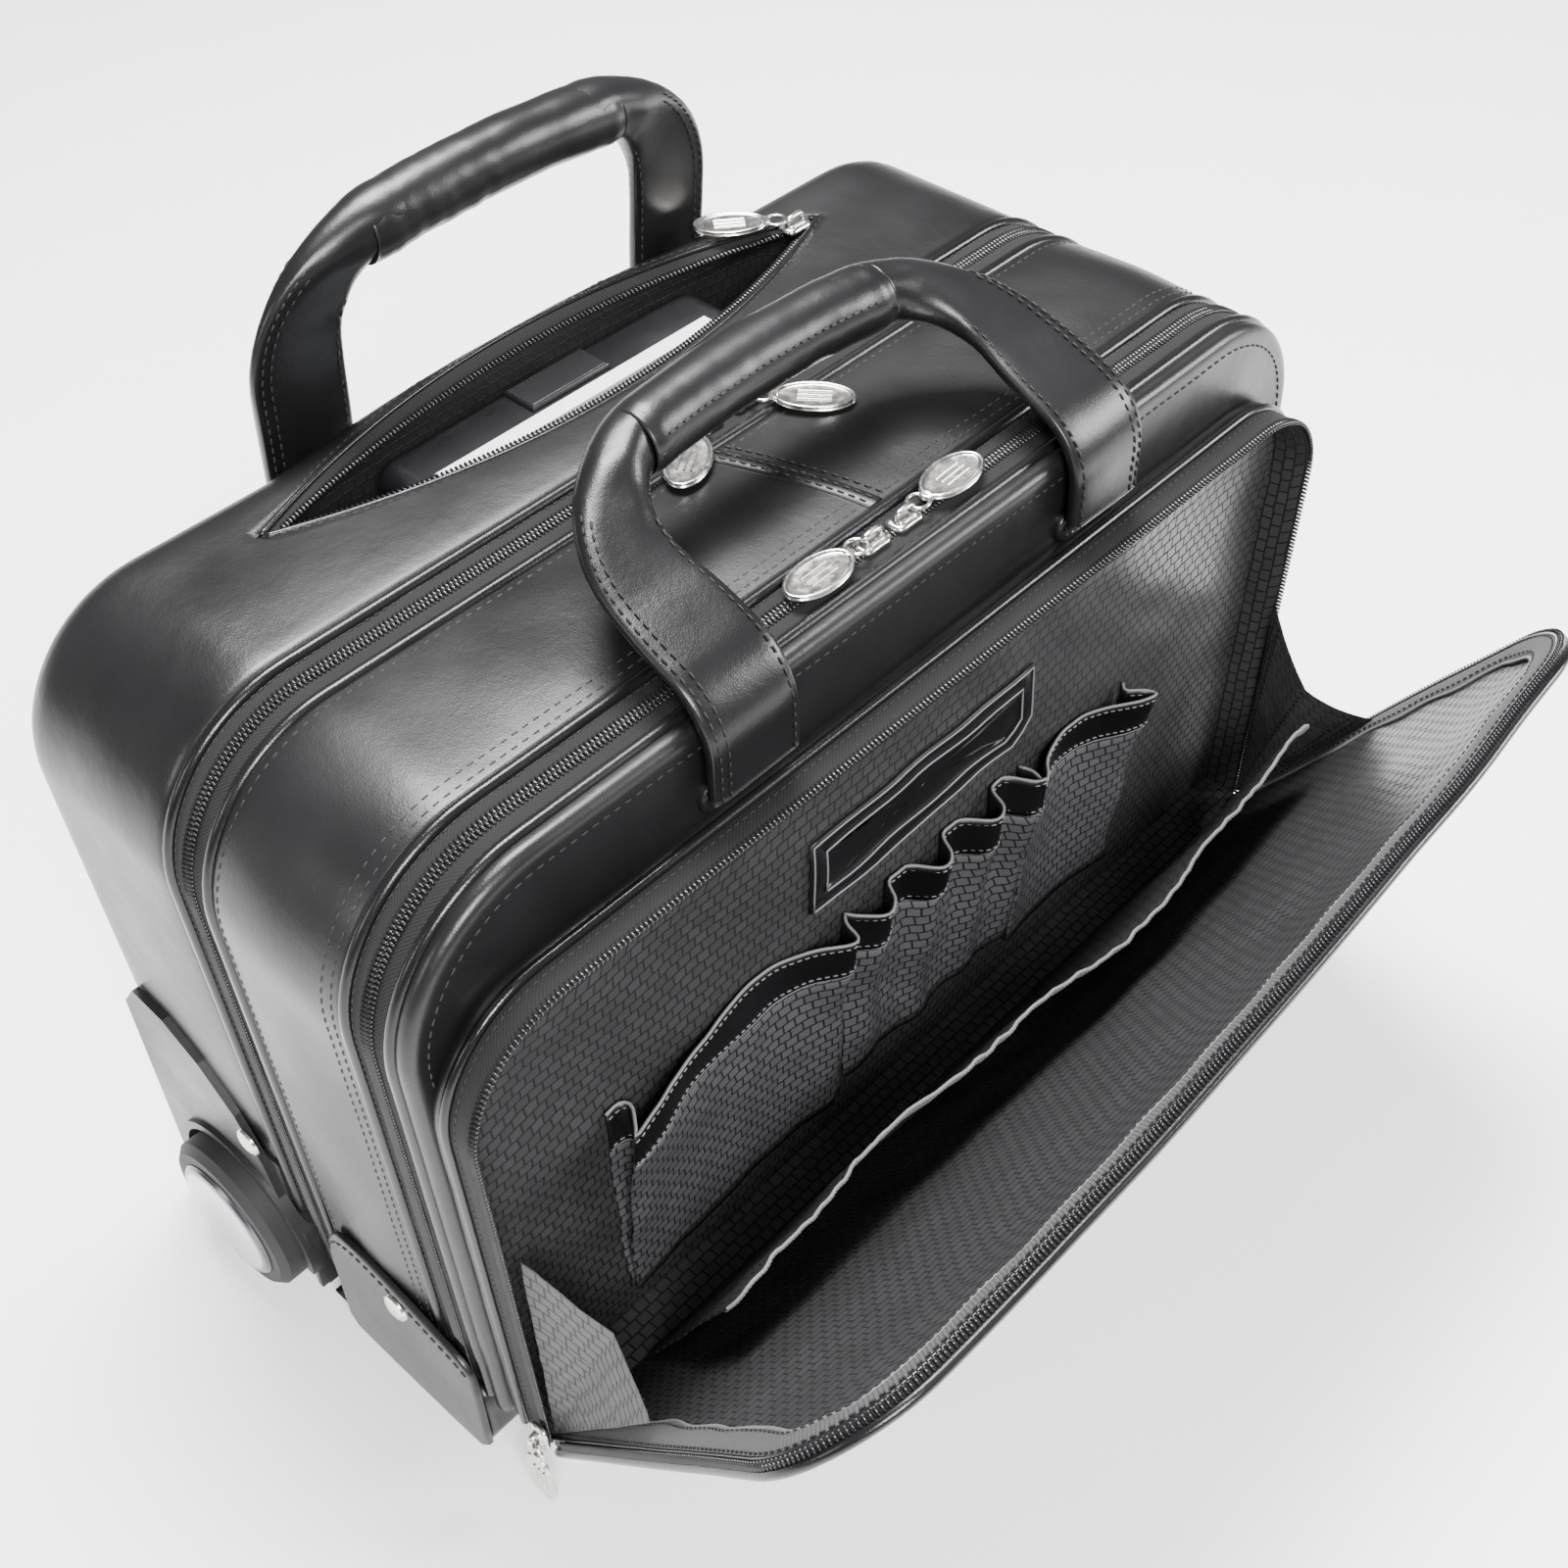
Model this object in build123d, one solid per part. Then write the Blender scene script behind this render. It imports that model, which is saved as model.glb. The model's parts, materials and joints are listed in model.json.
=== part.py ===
from build123d import *
import math
import os

# Rolling laptop case. Millimetres, Z up, front faces -Y, floor at Z = 0, X = 0 in the middle.
# The origin is the middle of the bounding box on the floor, with the organizer flap open.

BACK = 170.1                # rear face of the case
HALF = 222.0                # half the width at the top
LEAN = 7.0                  # how far each side comes in towards the bottom
TOP = 298.0                 # top of the case
LOW = 22.0                  # underside of the compartments
CORNER = 55.0               # radius of the top corners
FOOT = 30.0                 # radius of the bottom corners
WALL = 4.0                  # leather, stiffener and lining together
REAR_ROUND = 16.0           # rounding of the rear edges

ZIP_1 = BACK - 97.0         # middle of the zip behind
ZIP_2 = BACK - 182.0        # middle of the zip in front
BAND = 12.0                 # half the width of a zip with its pipings
ZIP_LOW = 60.0              # where the zips end at the bottom
FACE = BACK - 200.0         # outer face of the front panel
RING = BACK - 218.0         # mouth of the organizer pocket
PIPE = 4.0                  # width of a piping
PROUD = 1.5                 # how far a piping stands out
SINK = 1.4                  # how far a zip tape lies below the leather

RING_HALF = 218.0           # half the width of the organizer pocket
RING_TOP = 262.0
RING_LOW = 43.0
RING_CORNER = 42.0
FLAP_OPEN = 35.0            # how far the flap stands open, in degrees
FLAP_THICK = 5.0

WHEEL_R = 34.0
WHEEL_Y = BACK - 55.0
WHEEL_IN = 206.0            # inner face of a tyre
WHEEL_OUT = 232.0           # outer face of a tyre
AXLE_R = 5.0
GUARD_IN = 218.2            # inner face of a corner guard
GUARD_OUT = 221.2

TROLLEY_Y = BACK - 28.0
TROLLEY_X = 50.0            # tube spacing is twice this
TUBES = [(21.0, 17.0), (17.9, 13.9), (14.8, 10.8), (11.7, 7.7)]
TUBE_WALL = 1.3
TUBE_TOP = 262.0

HANDLE_GRIP = 58.0          # half the length of a carry handle's grip
GRIP_R = 12.0
STRAP = 6.0                 # thickness of a handle's strap

os.makedirs("parts", exist_ok=True)


def save(name, shape):
    shape.label = name
    export_step(shape, f"parts/{name}.step")


def box(x0, x1, y0, y1, z0, z1):
    centre = ((x0 + x1) / 2, (y0 + y1) / 2, (z0 + z1) / 2)
    return Pos(*centre) * Box(abs(x1 - x0), abs(y1 - y0), abs(z1 - z0))


def mirrored(shape):
    return mirror(shape, about=Plane.YZ)


def common(one, other):
    return (one & other).solids()[0]


def rod(x, y, z, radius, length, axis):
    turn = {"X": Rot(0, 90, 0), "Y": Rot(90, 0, 0), "Z": Rot(0, 0, 0)}[axis]
    return Pos(x, y, z) * turn * Cylinder(radius, length)


def front_view(points):
    return Plane.XZ * make_face(Polyline(*points, close=True))


def side_view(points, x0, x1):
    """A plate whose outline is given as (y, z), between two values of x."""
    flat = Plane.YZ * make_face(Polyline(*points, close=True))
    return Pos(x0, 0, 0) * extrude(flat, amount=x1 - x0)


def outline(inset, half=HALF, low=LOW, high=TOP, corner=CORNER, foot=FOOT):
    """The case seen from the front: wider at the top, with rounded corners."""
    lean = LEAN * (high - low) / (TOP - LOW)
    top, bottom = half - inset, half - lean - inset
    low, high = low + inset, high - inset
    face = make_face(Polyline((-bottom, low), (bottom, low), (top, high), (-top, high), close=True))
    face = fillet(face.vertices().group_by(Axis.Y)[-1], max(corner - inset, 1))
    return fillet(face.vertices().group_by(Axis.Y)[0], max(foot - inset, 1))


def slab(face, back, front):
    return Pos(0, back, 0) * extrude(Plane.XZ * face, amount=back - front)


def hoop(back, front, out, inner, cut=ZIP_LOW, **shape):
    """An upside-down U that follows the case's outline, cut off at the bottom."""
    ring = slab(outline(out, **shape), back, front) - slab(outline(inner, **shape), back + 1, front - 1)
    return ring - box(-300, 300, front - 5, back + 5, -50, cut)


def rounded(solid, radius):
    return fillet(solid.faces().sort_by(Axis.Y)[-1].edges(), radius)


def shift(shape, *by):
    return Pos(*by) * shape


# ---------------------------------------------------------------- rear compartment
REAR_END = ZIP_1 + BAND
shell = rounded(slab(outline(0), BACK, REAR_END), REAR_ROUND)
shell -= rounded(slab(outline(WALL), BACK - WALL, REAR_END - 1), REAR_ROUND - WALL)

LENS_HALF = 125.0
LENS_Y = BACK - 32.0
LENS_BOW = 20.0


def lens(grow, z0, z1):
    """The open zip on top of the rear compartment: two bowed lips that meet at both ends."""
    half, bow = LENS_HALF + grow, LENS_BOW + grow
    front = ThreePointArc((-half, LENS_Y), (0, LENS_Y - bow), (half, LENS_Y))
    rear = ThreePointArc((half, LENS_Y), (0, LENS_Y + bow), (-half, LENS_Y))
    return Pos(0, 0, z0) * extrude(make_face([front, rear]), amount=z1 - z0)


shell -= lens(9, TOP - 20, TOP + 20)
HOUSE_IN = 192.0
HOUSE_TOP = 84.0
for side in (-1, 1):
    shell -= box(side * HOUSE_IN, side * 240, BACK - 5, BACK - 100, 0, HOUSE_TOP)
save("rear_shell", shell)

zip_top = lens(8.7, TOP - 3, TOP - 0.6) - lens(0, TOP - 10, TOP + 10)
save("rear_zip_track", zip_top)

LINING_Y = BACK - 54.0
lining = slab(outline(WALL + 0.2), LINING_Y, LINING_Y - 2)
for side in (-1, 1):
    lining -= box(side * HOUSE_IN, side * 240, BACK, BACK - 100, 0, HOUSE_TOP)
save("trolley_lining_wall", lining)

base = box(-212, 212, BACK - 5, BACK - 186, 14, LOW)
for side in (-1, 1):
    base -= box(side * HOUSE_IN, side * 240, BACK, BACK - 95, 0, 60)
save("base_panel", base)


def housing():
    block = box(HOUSE_IN, GUARD_IN, BACK - 5, BACK - 84, 14, HOUSE_TOP)
    block += box(HOUSE_IN, GUARD_IN, BACK - 84, BACK - 94.5, 14, 56)
    block -= rod(HOUSE_IN + 6 + 50, WHEEL_Y, WHEEL_R, WHEEL_R + 2.5, 100, "X")
    block -= box(HOUSE_IN + 6, 240, WHEEL_Y - WHEEL_R - 2.5, WHEEL_Y + WHEEL_R + 2.5, 0, WHEEL_R)
    return block - rod(HOUSE_IN, WHEEL_Y, WHEEL_R, AXLE_R + 0.02, 40, "X")


def axle():
    return rod((HOUSE_IN + WHEEL_OUT - 6) / 2, WHEEL_Y, WHEEL_R, AXLE_R, WHEEL_OUT - 6 - HOUSE_IN, "X")


def guard():
    points = [(-6, 14), (-6, 118), (-16, 132), (-34, 130), (-52, 120), (-68, 103), (-78, 82)]
    points += [(-83.5, 56), (-94, 52), (-94, 14)]
    plate = side_view([(BACK + y, z) for y, z in points], GUARD_IN, GUARD_OUT)
    plate -= rod(GUARD_IN, WHEEL_Y, WHEEL_R, WHEEL_R + 2.5, 40, "X")
    plate -= box(200, 240, WHEEL_Y - WHEEL_R - 2.5, WHEEL_Y + WHEEL_R + 2.5, 0, WHEEL_R)
    arch = rod((GUARD_IN + GUARD_OUT + 2) / 2, WHEEL_Y, WHEEL_R, WHEEL_R + 6, GUARD_OUT + 2 - GUARD_IN, "X")
    arch -= rod(GUARD_IN, WHEEL_Y, WHEEL_R, WHEEL_R + 2.5, 40, "X")
    arch -= box(200, 240, BACK, BACK - 120, -60, 26)
    return plate + arch


def tyre():
    ring = rod((WHEEL_IN + WHEEL_OUT) / 2, WHEEL_Y, WHEEL_R, WHEEL_R, WHEEL_OUT - WHEEL_IN, "X")
    ring = chamfer(ring.edges().filter_by(GeomType.CIRCLE), 3)
    return ring - rod(WHEEL_IN, WHEEL_Y, WHEEL_R, 26, 80, "X")


def turned(points, x, y, z):
    """A round piece on an axis along X; each point is (distance along the axis, radius)."""
    face = make_face(Polyline(*points, close=True))
    return Pos(x, y, z) * revolve(face, Axis.X)


def hub():
    start, end = WHEEL_IN + 3, WHEEL_OUT + 0.5
    domed = [(end, 26), (end + 1.2, 25), (end + 2.2, 20), (end + 3.0, 12), (end + 3.3, 0)]
    bore = [(WHEEL_OUT - 5.8, 0), (WHEEL_OUT - 5.8, AXLE_R + 0.05), (start, AXLE_R + 0.05)]
    return turned([(start, 26), *domed, *bore], 0, WHEEL_Y, WHEEL_R)


house, pin, plate, rubber, disc = housing(), axle(), guard(), tyre(), hub()
save("wheel_housings", Compound([house, mirrored(house)]))
save("wheel_axles", Compound([pin, mirrored(pin)]))
save("corner_guard_right", plate)
save("corner_guard_left", mirrored(plate))
save("tyre_right", rubber)
save("tyre_left", mirrored(rubber))
save("hub_right", disc)
save("hub_left", mirrored(disc))

WRAP_IN, WRAP_OUT = 219.2, 222.0
wrap_points = [(-112, 11), (-112, 70), (-118, 80), (-126, 84), (-150, 82), (-175, 76), (-192, 70), (-192, 11)]
wrap = side_view([(BACK + y, z) for y, z in wrap_points], WRAP_IN, WRAP_OUT)
wrap += box(178, WRAP_OUT, BACK - 112, BACK - 186, 11, 14)
save("bottom_wraps", Compound([wrap, mirrored(wrap)]))

foot = chamfer(rod(192, BACK - 168, 5.5, 11, 11, "Z").edges().group_by(Axis.Z)[0], 1.5)
save("front_feet", Compound([foot, mirrored(foot)]))


def snap(x, y, z):
    return turned([(0, 0), (0, 6), (1.0, 5.6), (1.8, 4.2), (2.3, 2.2), (2.5, 0)], x, y, z)


snaps = [snap(GUARD_OUT, BACK - 73, 92), snap(WRAP_OUT, BACK - 153, 70)]
save("snap_studs", Compound(snaps + [mirrored(s) for s in snaps]))

# ---------------------------------------------------------------- zips: pipings and tapes with teeth


def half_zip(middle, side):
    """Tape and teeth of one half of a zip; side 1 is behind the middle line, -1 in front."""
    edge = middle + side * (BAND - PIPE)
    teeth = middle + side * 3.0
    line = middle + side * 0.2
    tape = hoop(max(edge, teeth), min(edge, teeth), SINK, SINK + 1.6)
    return tape + hoop(max(teeth, line), min(teeth, line), 0.4, SINK + 1.6)


def piping(middle, side):
    outer, inner = middle + side * BAND, middle + side * (BAND - PIPE)
    return hoop(max(outer, inner), min(outer, inner), -PROUD, WALL)


save("zip_1_rear_half", half_zip(ZIP_1, 1))
save("zip_1_rear_piping", piping(ZIP_1, 1))
save("zip_1_middle_half", half_zip(ZIP_1, -1))
save("zip_2_middle_half", half_zip(ZIP_2, 1))
save("middle_pipings", Compound([piping(ZIP_1, -1), piping(ZIP_2, 1)]))
save("zip_2_front_half", half_zip(ZIP_2, -1))
save("zip_2_front_piping", piping(ZIP_2, -1))

# ---------------------------------------------------------------- middle compartment
band_back, band_front = ZIP_1 - BAND, ZIP_2 + BAND
band = hoop(band_back, band_front, 0, WALL, ZIP_LOW - 13)
save("middle_band", band)
wall = slab(outline(WALL + 0.1), ZIP_1 - 8.2, ZIP_1 - 11.2) - box(-300, 300, BACK, BACK - 250, 0, ZIP_LOW - 13)
save("middle_divider", wall)

# ---------------------------------------------------------------- front panel and organizer pocket
panel = slab(outline(0), ZIP_2 - BAND, FACE) - box(-300, 300, BACK, BACK - 250, 0, RING_LOW)
save("front_panel", panel)

ring_shape = {"half": RING_HALF, "low": RING_LOW - 12, "high": RING_TOP, "corner": RING_CORNER, "foot": 2.0}
ring = slab(outline(0, **ring_shape), FACE, RING + 8)
ring -= slab(outline(3, **ring_shape), FACE - 2, RING)
ring -= box(-300, 300, BACK, BACK - 300, 0, RING_LOW)
save("organizer_wall", ring)
save("organizer_piping", hoop(RING + 8, RING + 4.5, -PROUD, 3, RING_LOW, **ring_shape))
save("organizer_zip_half", hoop(RING + 4.5, RING, 0.4, 3, RING_LOW, **ring_shape))

POCKET_BACK = FACE - 2.0
pocket = front_view([(-158, 60), (-46, 60), (-46, 158), (-60, 150), (-100, 158), (-140, 172), (-158, 172)])
pocket = Pos(0, POCKET_BACK, 0) * extrude(pocket, amount=3.5)
other = front_view([(66, 60), (150, 60), (150, 142), (110, 150), (66, 162)])
pockets = [pocket, Pos(0, POCKET_BACK, 0) * extrude(other, amount=3.5)]
for index in range(4):
    x = -32 + 28 * index
    tube = rod(x, POCKET_BACK - 5, 108, 5, 96, "Z") - rod(x, POCKET_BACK - 5, 110, 3.8, 100, "Z")
    pockets.append(tube)
frame = box(-66, 64, POCKET_BACK, POCKET_BACK - 1.6, 178, 222)
frame -= box(-60, 58, POCKET_BACK - 0.6, POCKET_BACK - 2, 184, 216)
save("organizer_pockets", Compound([*pockets, frame]))

# ---------------------------------------------------------------- divider that leans between pocket and flap
DIVIDER_LEAN = 25.0
sleeve = box(-168, 176, -0.6, 0.6, 7, 112)
sleeve = Pos(0, RING - 3.0, RING_LOW) * Rot(DIVIDER_LEAN, 0, 0) * sleeve
save("sleeve_divider", sleeve)

# ---------------------------------------------------------------- organizer flap, standing open
PIVOT = (RING - 5.0, RING_LOW)


def opened(shape, angle):
    """Turned forwards about the flap's hinge line."""
    return Pos(0, *PIVOT) * Rot(angle, 0, 0) * Pos(0, -PIVOT[0], -PIVOT[1]) * shape


flap_back = RING - 1.6
flap = slab(outline(0, **ring_shape), flap_back - 1.5, flap_back - FLAP_THICK)
flap -= box(-300, 300, BACK, BACK - 300, 0, RING_LOW)
save("organizer_flap", opened(flap, FLAP_OPEN))
border = slab(outline(1, **ring_shape), flap_back, flap_back - 1.5) - slab(outline(14, **ring_shape), flap_back + 1, flap_back - 3)
border -= box(-300, 300, BACK, BACK - 300, 0, RING_LOW + 4)
save("flap_border", opened(border, FLAP_OPEN))
edge = slab(outline(-PROUD, **ring_shape), flap_back, flap_back - 4) - slab(outline(0, **ring_shape), flap_back + 1, flap_back - 5)
edge -= box(-300, 300, BACK, BACK - 300, 0, RING_LOW + 26)
save("flap_zip_half", opened(edge, FLAP_OPEN))

sine, cosine = math.sin(math.radians(FLAP_OPEN)), math.cos(math.radians(FLAP_OPEN))
near, far = 26.0, 92.0
tip = (PIVOT[0] + 5 - sine * far, PIVOT[1] + cosine * far)
root = (PIVOT[0] + 5 - sine * near, PIVOT[1] + cosine * near)
gusset = side_view([(RING - 0.5, RING_LOW + near), (RING - 0.5, RING_LOW + 112), tip, root], 208.6, 209.8)
save("gusset_right", gusset)
save("gusset_left", mirrored(gusset))

# ---------------------------------------------------------------- telescopic handle


def tube(size, z0, z1, bore=True):
    wide, deep = size
    body = box(-wide / 2, wide / 2, -deep / 2, deep / 2, z0, z1)
    body = fillet(body.edges().filter_by(Axis.Z), 2.5)
    if bore:
        hole = box(-wide / 2 + TUBE_WALL, wide / 2 - TUBE_WALL, -deep / 2 + TUBE_WALL, deep / 2 - TUBE_WALL, z0 - 1, z1 + 1)
        body -= fillet(hole.edges().filter_by(Axis.Z), 1.4)
    return body


def pair(body):
    right = Pos(TROLLEY_X, TROLLEY_Y, 0) * body
    return Compound([right, mirrored(right)])


foot_bar = box(-TROLLEY_X - 18, TROLLEY_X + 18, TROLLEY_Y - 12, TROLLEY_Y + 12, LOW + WALL, 28)
save("trolley_outer_tubes", Compound([*pair(tube(TUBES[0], 28, TUBE_TOP)).solids(), foot_bar]))
for stage in (1, 2, 3):
    save(f"trolley_tubes_{stage}", pair(tube(TUBES[stage], 28 + 3 * stage, TUBE_TOP + 2 * stage, stage < 3)))

grip_low, grip_high = TUBE_TOP + 6, 287.0
grip = box(-78, 78, TROLLEY_Y - 15, TROLLEY_Y + 12, grip_low, grip_high)
grip = fillet(grip.edges().filter_by(Axis.Y), 8)
grip = fillet(grip.edges().group_by(Axis.Z)[-1], 4)
grip -= box(-66, 66, TROLLEY_Y - 15.5, TROLLEY_Y - 8, grip_high - 3, grip_high + 1)
grip -= box(-19, 19, TROLLEY_Y - 6.6, TROLLEY_Y + 9.6, grip_high - 9, grip_high + 5)
save("trolley_grip", grip)
strip = box(-65.8, 65.8, TROLLEY_Y - 15, TROLLEY_Y - 8.1, grip_high - 3, grip_high + 0.2)
save("trolley_grip_strip", strip)
save("release_button", fillet(box(-18.7, 18.7, TROLLEY_Y - 6.3, TROLLEY_Y + 9.3, grip_high - 5.2, grip_high + 2.4).edges().group_by(Axis.Z)[-1], 1.5))

# ---------------------------------------------------------------- carry handles
FOOT_THICK = 3.0            # the sewn foot of a strap
REAR_PIVOT = (BACK + FOOT_THICK + 0.4 + STRAP / 2, 284.0)
FRONT_PIVOT = (FACE - FOOT_THICK - 0.4 - STRAP / 2, 276.0)
LEG_IN, LEG_OUT = 68.0, 106.0
REAR_LEAN = 6.0             # the rear handle leans on the case
REAR_RISE = 366.0
FRONT_BEND = 307.0
GRIP_BACK = (FACE + 75, 340.0)


def strap_plate(points):
    """A strap of even thickness that follows a line in the side view, seen as (y, z) points."""
    half = STRAP / 2
    plate = rod(LEG_OUT / 2 + 50, *points[0], half, LEG_OUT + 100, "X")
    for (y0, z0), (y1, z1) in zip(points, points[1:]):
        length = math.hypot(y1 - y0, z1 - z0)
        turn = math.degrees(math.atan2(-(y1 - y0), z1 - z0))
        piece = Pos(0, y0, z0) * Rot(turn, 0, 0) * box(0, 200, -half, half, 0, length)
        plate += piece + rod(100, y1, z1, half, 200, "X")
    return plate


def leg(pivot, bend, rise, points):
    """A strap leg: the front view of the strap cut out of a bent plate."""
    low = pivot[1] - STRAP / 2
    out = [(LEG_IN, low), (LEG_OUT, low), (LEG_OUT, bend), (98, (bend + rise) / 2 + 6), (84, rise + 8)]
    out += [(70, rise + GRIP_R), (HANDLE_GRIP, rise + GRIP_R), (HANDLE_GRIP, rise - GRIP_R), (LEG_IN - 3, rise - 22)]
    return common(Pos(0, 200, 0) * extrude(front_view(out), amount=400), strap_plate(points))


def leaned(shape):
    return Pos(0, *REAR_PIVOT) * Rot(REAR_LEAN, 0, 0) * Pos(0, -REAR_PIVOT[0], -REAR_PIVOT[1]) * shape


side_leg = leaned(leg(REAR_PIVOT, 310, REAR_RISE, [REAR_PIVOT, (REAR_PIVOT[0], 385)]))
save("rear_handle_straps", Compound([side_leg, mirrored(side_leg)]))
save("rear_handle_grip", leaned(rod(0, REAR_PIVOT[0], REAR_RISE, GRIP_R, 2 * HANDLE_GRIP, "X")))
patch = box(LEG_IN, LEG_OUT, BACK, BACK + FOOT_THICK, 205, REAR_PIVOT[1] - 2)
save("rear_handle_feet", Compound([patch, mirrored(patch)]))

side_leg = leg(FRONT_PIVOT, FRONT_BEND, GRIP_BACK[1], [FRONT_PIVOT, (FRONT_PIVOT[0], FRONT_BEND), GRIP_BACK])
save("front_handle_straps", Compound([side_leg, mirrored(side_leg)]))
save("front_handle_grip", rod(0, *GRIP_BACK, GRIP_R, 2 * HANDLE_GRIP, "X"))
patch = box(LEG_IN, LEG_OUT, FACE, FACE - FOOT_THICK, RING_TOP, FRONT_PIVOT[1])
save("front_handle_feet", Compound([patch, mirrored(patch)]))

# ---------------------------------------------------------------- sliders and pulls


def slider():
    """Slider on a zip that runs along X, with its underside at Z = 0."""
    body = box(-6.5, 6.5, -4.6, 4.6, 0, 3.2)
    body = fillet(body.edges().filter_by(Axis.Z), 2.2)
    bridge = box(-4.5, 4.5, -1.1, 1.1, 3.2, 6.2) - box(-3.1, 3.1, -2, 2, 3.2, 5.0)
    return body + bridge


def pull():
    """Ring link and oval tab that lie along +X from the slider's bridge."""
    ring = Pos(4.2, 0, 0) * (Cylinder(4.4, 1.4) - Cylinder(3.2, 3))
    ring -= box(-1.0, 1.6, -6, 6, -3, 3)
    tab = Pos(22.5, 0, 0) * extrude(Ellipse(14.5, 8.2), amount=1.0, both=True)
    tab -= Pos(10.8, 0, 0) * Cylinder(1.6, 4)
    return ring + box(7.4, 9.4, -2.6, 2.6, -1.0, 1.0) + tab


# name: slider x, y, z, then the plan direction of the pull in degrees
SEAT = TOP - 0.1
PULLS = {
    "zip_1_left": (5.0, ZIP_1, SEAT, 212),
    "zip_1_right": (23.0, ZIP_1, SEAT, -52),
    "zip_2_left": (-6.0, ZIP_2, SEAT, 181),
    "zip_2_right": (10.0, ZIP_2, SEAT, 3),
    "rear_zip": (121.0, LENS_Y, TOP + 0.3, 140),
}
for name, (x, y, z, turn) in PULLS.items():
    save(f"{name}_slider", shift(slider(), x, y, z))
    save(f"{name}_pull", Pos(x, y, z + 4.1) * Rot(0, 0, turn) * Pos(3.0, 0, 0) * pull())

side_x = -(RING_HALF - LEAN * (RING_TOP - RING_LOW) / (TOP - LOW)) - 1.8
hang = Pos(side_x, RING - 0.4, RING_LOW + 9)
save("organizer_slider", hang * Rot(0, -90, 0) * slider())
save("organizer_pull", Pos(side_x - 4.1, RING - 0.4, RING_LOW + 9) * Rot(0, 90, 0) * Pos(3.0, 0, 0) * pull())
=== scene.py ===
import bmesh
import bpy
import json
import math
from mathutils import Matrix, Vector, noise


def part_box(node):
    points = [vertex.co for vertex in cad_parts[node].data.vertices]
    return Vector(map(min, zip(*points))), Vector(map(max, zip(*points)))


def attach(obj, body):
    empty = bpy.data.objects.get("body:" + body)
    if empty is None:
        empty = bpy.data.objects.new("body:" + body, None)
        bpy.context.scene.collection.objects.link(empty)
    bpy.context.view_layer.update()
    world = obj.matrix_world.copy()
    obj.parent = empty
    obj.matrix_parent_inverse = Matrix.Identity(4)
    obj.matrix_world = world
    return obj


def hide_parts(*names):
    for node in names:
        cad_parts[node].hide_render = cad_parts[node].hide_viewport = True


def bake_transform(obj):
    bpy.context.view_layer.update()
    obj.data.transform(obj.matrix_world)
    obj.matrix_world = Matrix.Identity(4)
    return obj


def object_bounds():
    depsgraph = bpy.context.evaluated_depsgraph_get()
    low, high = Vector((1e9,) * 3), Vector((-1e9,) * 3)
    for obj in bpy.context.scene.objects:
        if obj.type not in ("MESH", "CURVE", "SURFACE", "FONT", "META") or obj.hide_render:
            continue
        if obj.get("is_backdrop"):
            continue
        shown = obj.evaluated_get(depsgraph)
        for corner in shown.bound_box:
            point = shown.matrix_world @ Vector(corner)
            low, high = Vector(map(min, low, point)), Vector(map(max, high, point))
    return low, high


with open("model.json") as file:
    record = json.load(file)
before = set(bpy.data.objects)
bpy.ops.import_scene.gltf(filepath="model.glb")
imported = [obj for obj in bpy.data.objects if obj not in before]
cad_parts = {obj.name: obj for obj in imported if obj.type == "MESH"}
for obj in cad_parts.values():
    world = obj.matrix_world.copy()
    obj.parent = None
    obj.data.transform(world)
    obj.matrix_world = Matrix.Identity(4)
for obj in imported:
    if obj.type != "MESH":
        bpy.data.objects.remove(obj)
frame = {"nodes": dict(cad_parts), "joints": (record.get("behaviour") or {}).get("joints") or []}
cad_low, cad_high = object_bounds()

# All lengths below are millimetres. They become metres in piece().


def edge_of(node, axis, high):
    low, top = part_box(node)
    return (top if high else low)[axis] * 1000


BACK = edge_of("rear_shell", 1, True)
TOP = edge_of("rear_shell", 2, True)
LOW = edge_of("rear_shell", 2, False)
FACE = edge_of("front_panel", 1, False)
RING = edge_of("organizer_zip_half", 1, False)
RING_TOP = edge_of("organizer_wall", 2, True)
HINGE_Z = edge_of("organizer_wall", 2, False)
ZIP_1 = BACK - 97.0
ZIP_2 = BACK - 182.0
BAND = 12.0
LENS_Y = BACK - 32.0
CASE = {"half": 222.0, "low": LOW, "high": TOP, "corner": 55.0, "foot": 30.0}
POUCH = {"half": 218.0, "low": HINGE_Z - 12, "high": RING_TOP, "corner": 42.0, "foot": 3.0}
LEAN = 7.0 / (TOP - LOW)
GRIP_HALF, GRIP_DROP = 56.0, 3.5
FLAP_OPEN, DIVIDER_LEAN = 35.0, 25.0


# ---- materials
def new_material(name, colour, rough, metal=0.0, **more):
    """A material whose even values sit on the shader's own sockets."""
    m = bpy.data.materials.new(name)
    m.use_nodes = True
    shader = m.node_tree.nodes["Principled BSDF"]
    shader.inputs["Base Color"].default_value = (*colour, 1)
    shader.inputs["Roughness"].default_value = rough
    shader.inputs["Metallic"].default_value = metal
    for key, value in more.items():
        shader.inputs[key.replace("_", " ")].default_value = value
    return m


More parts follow.
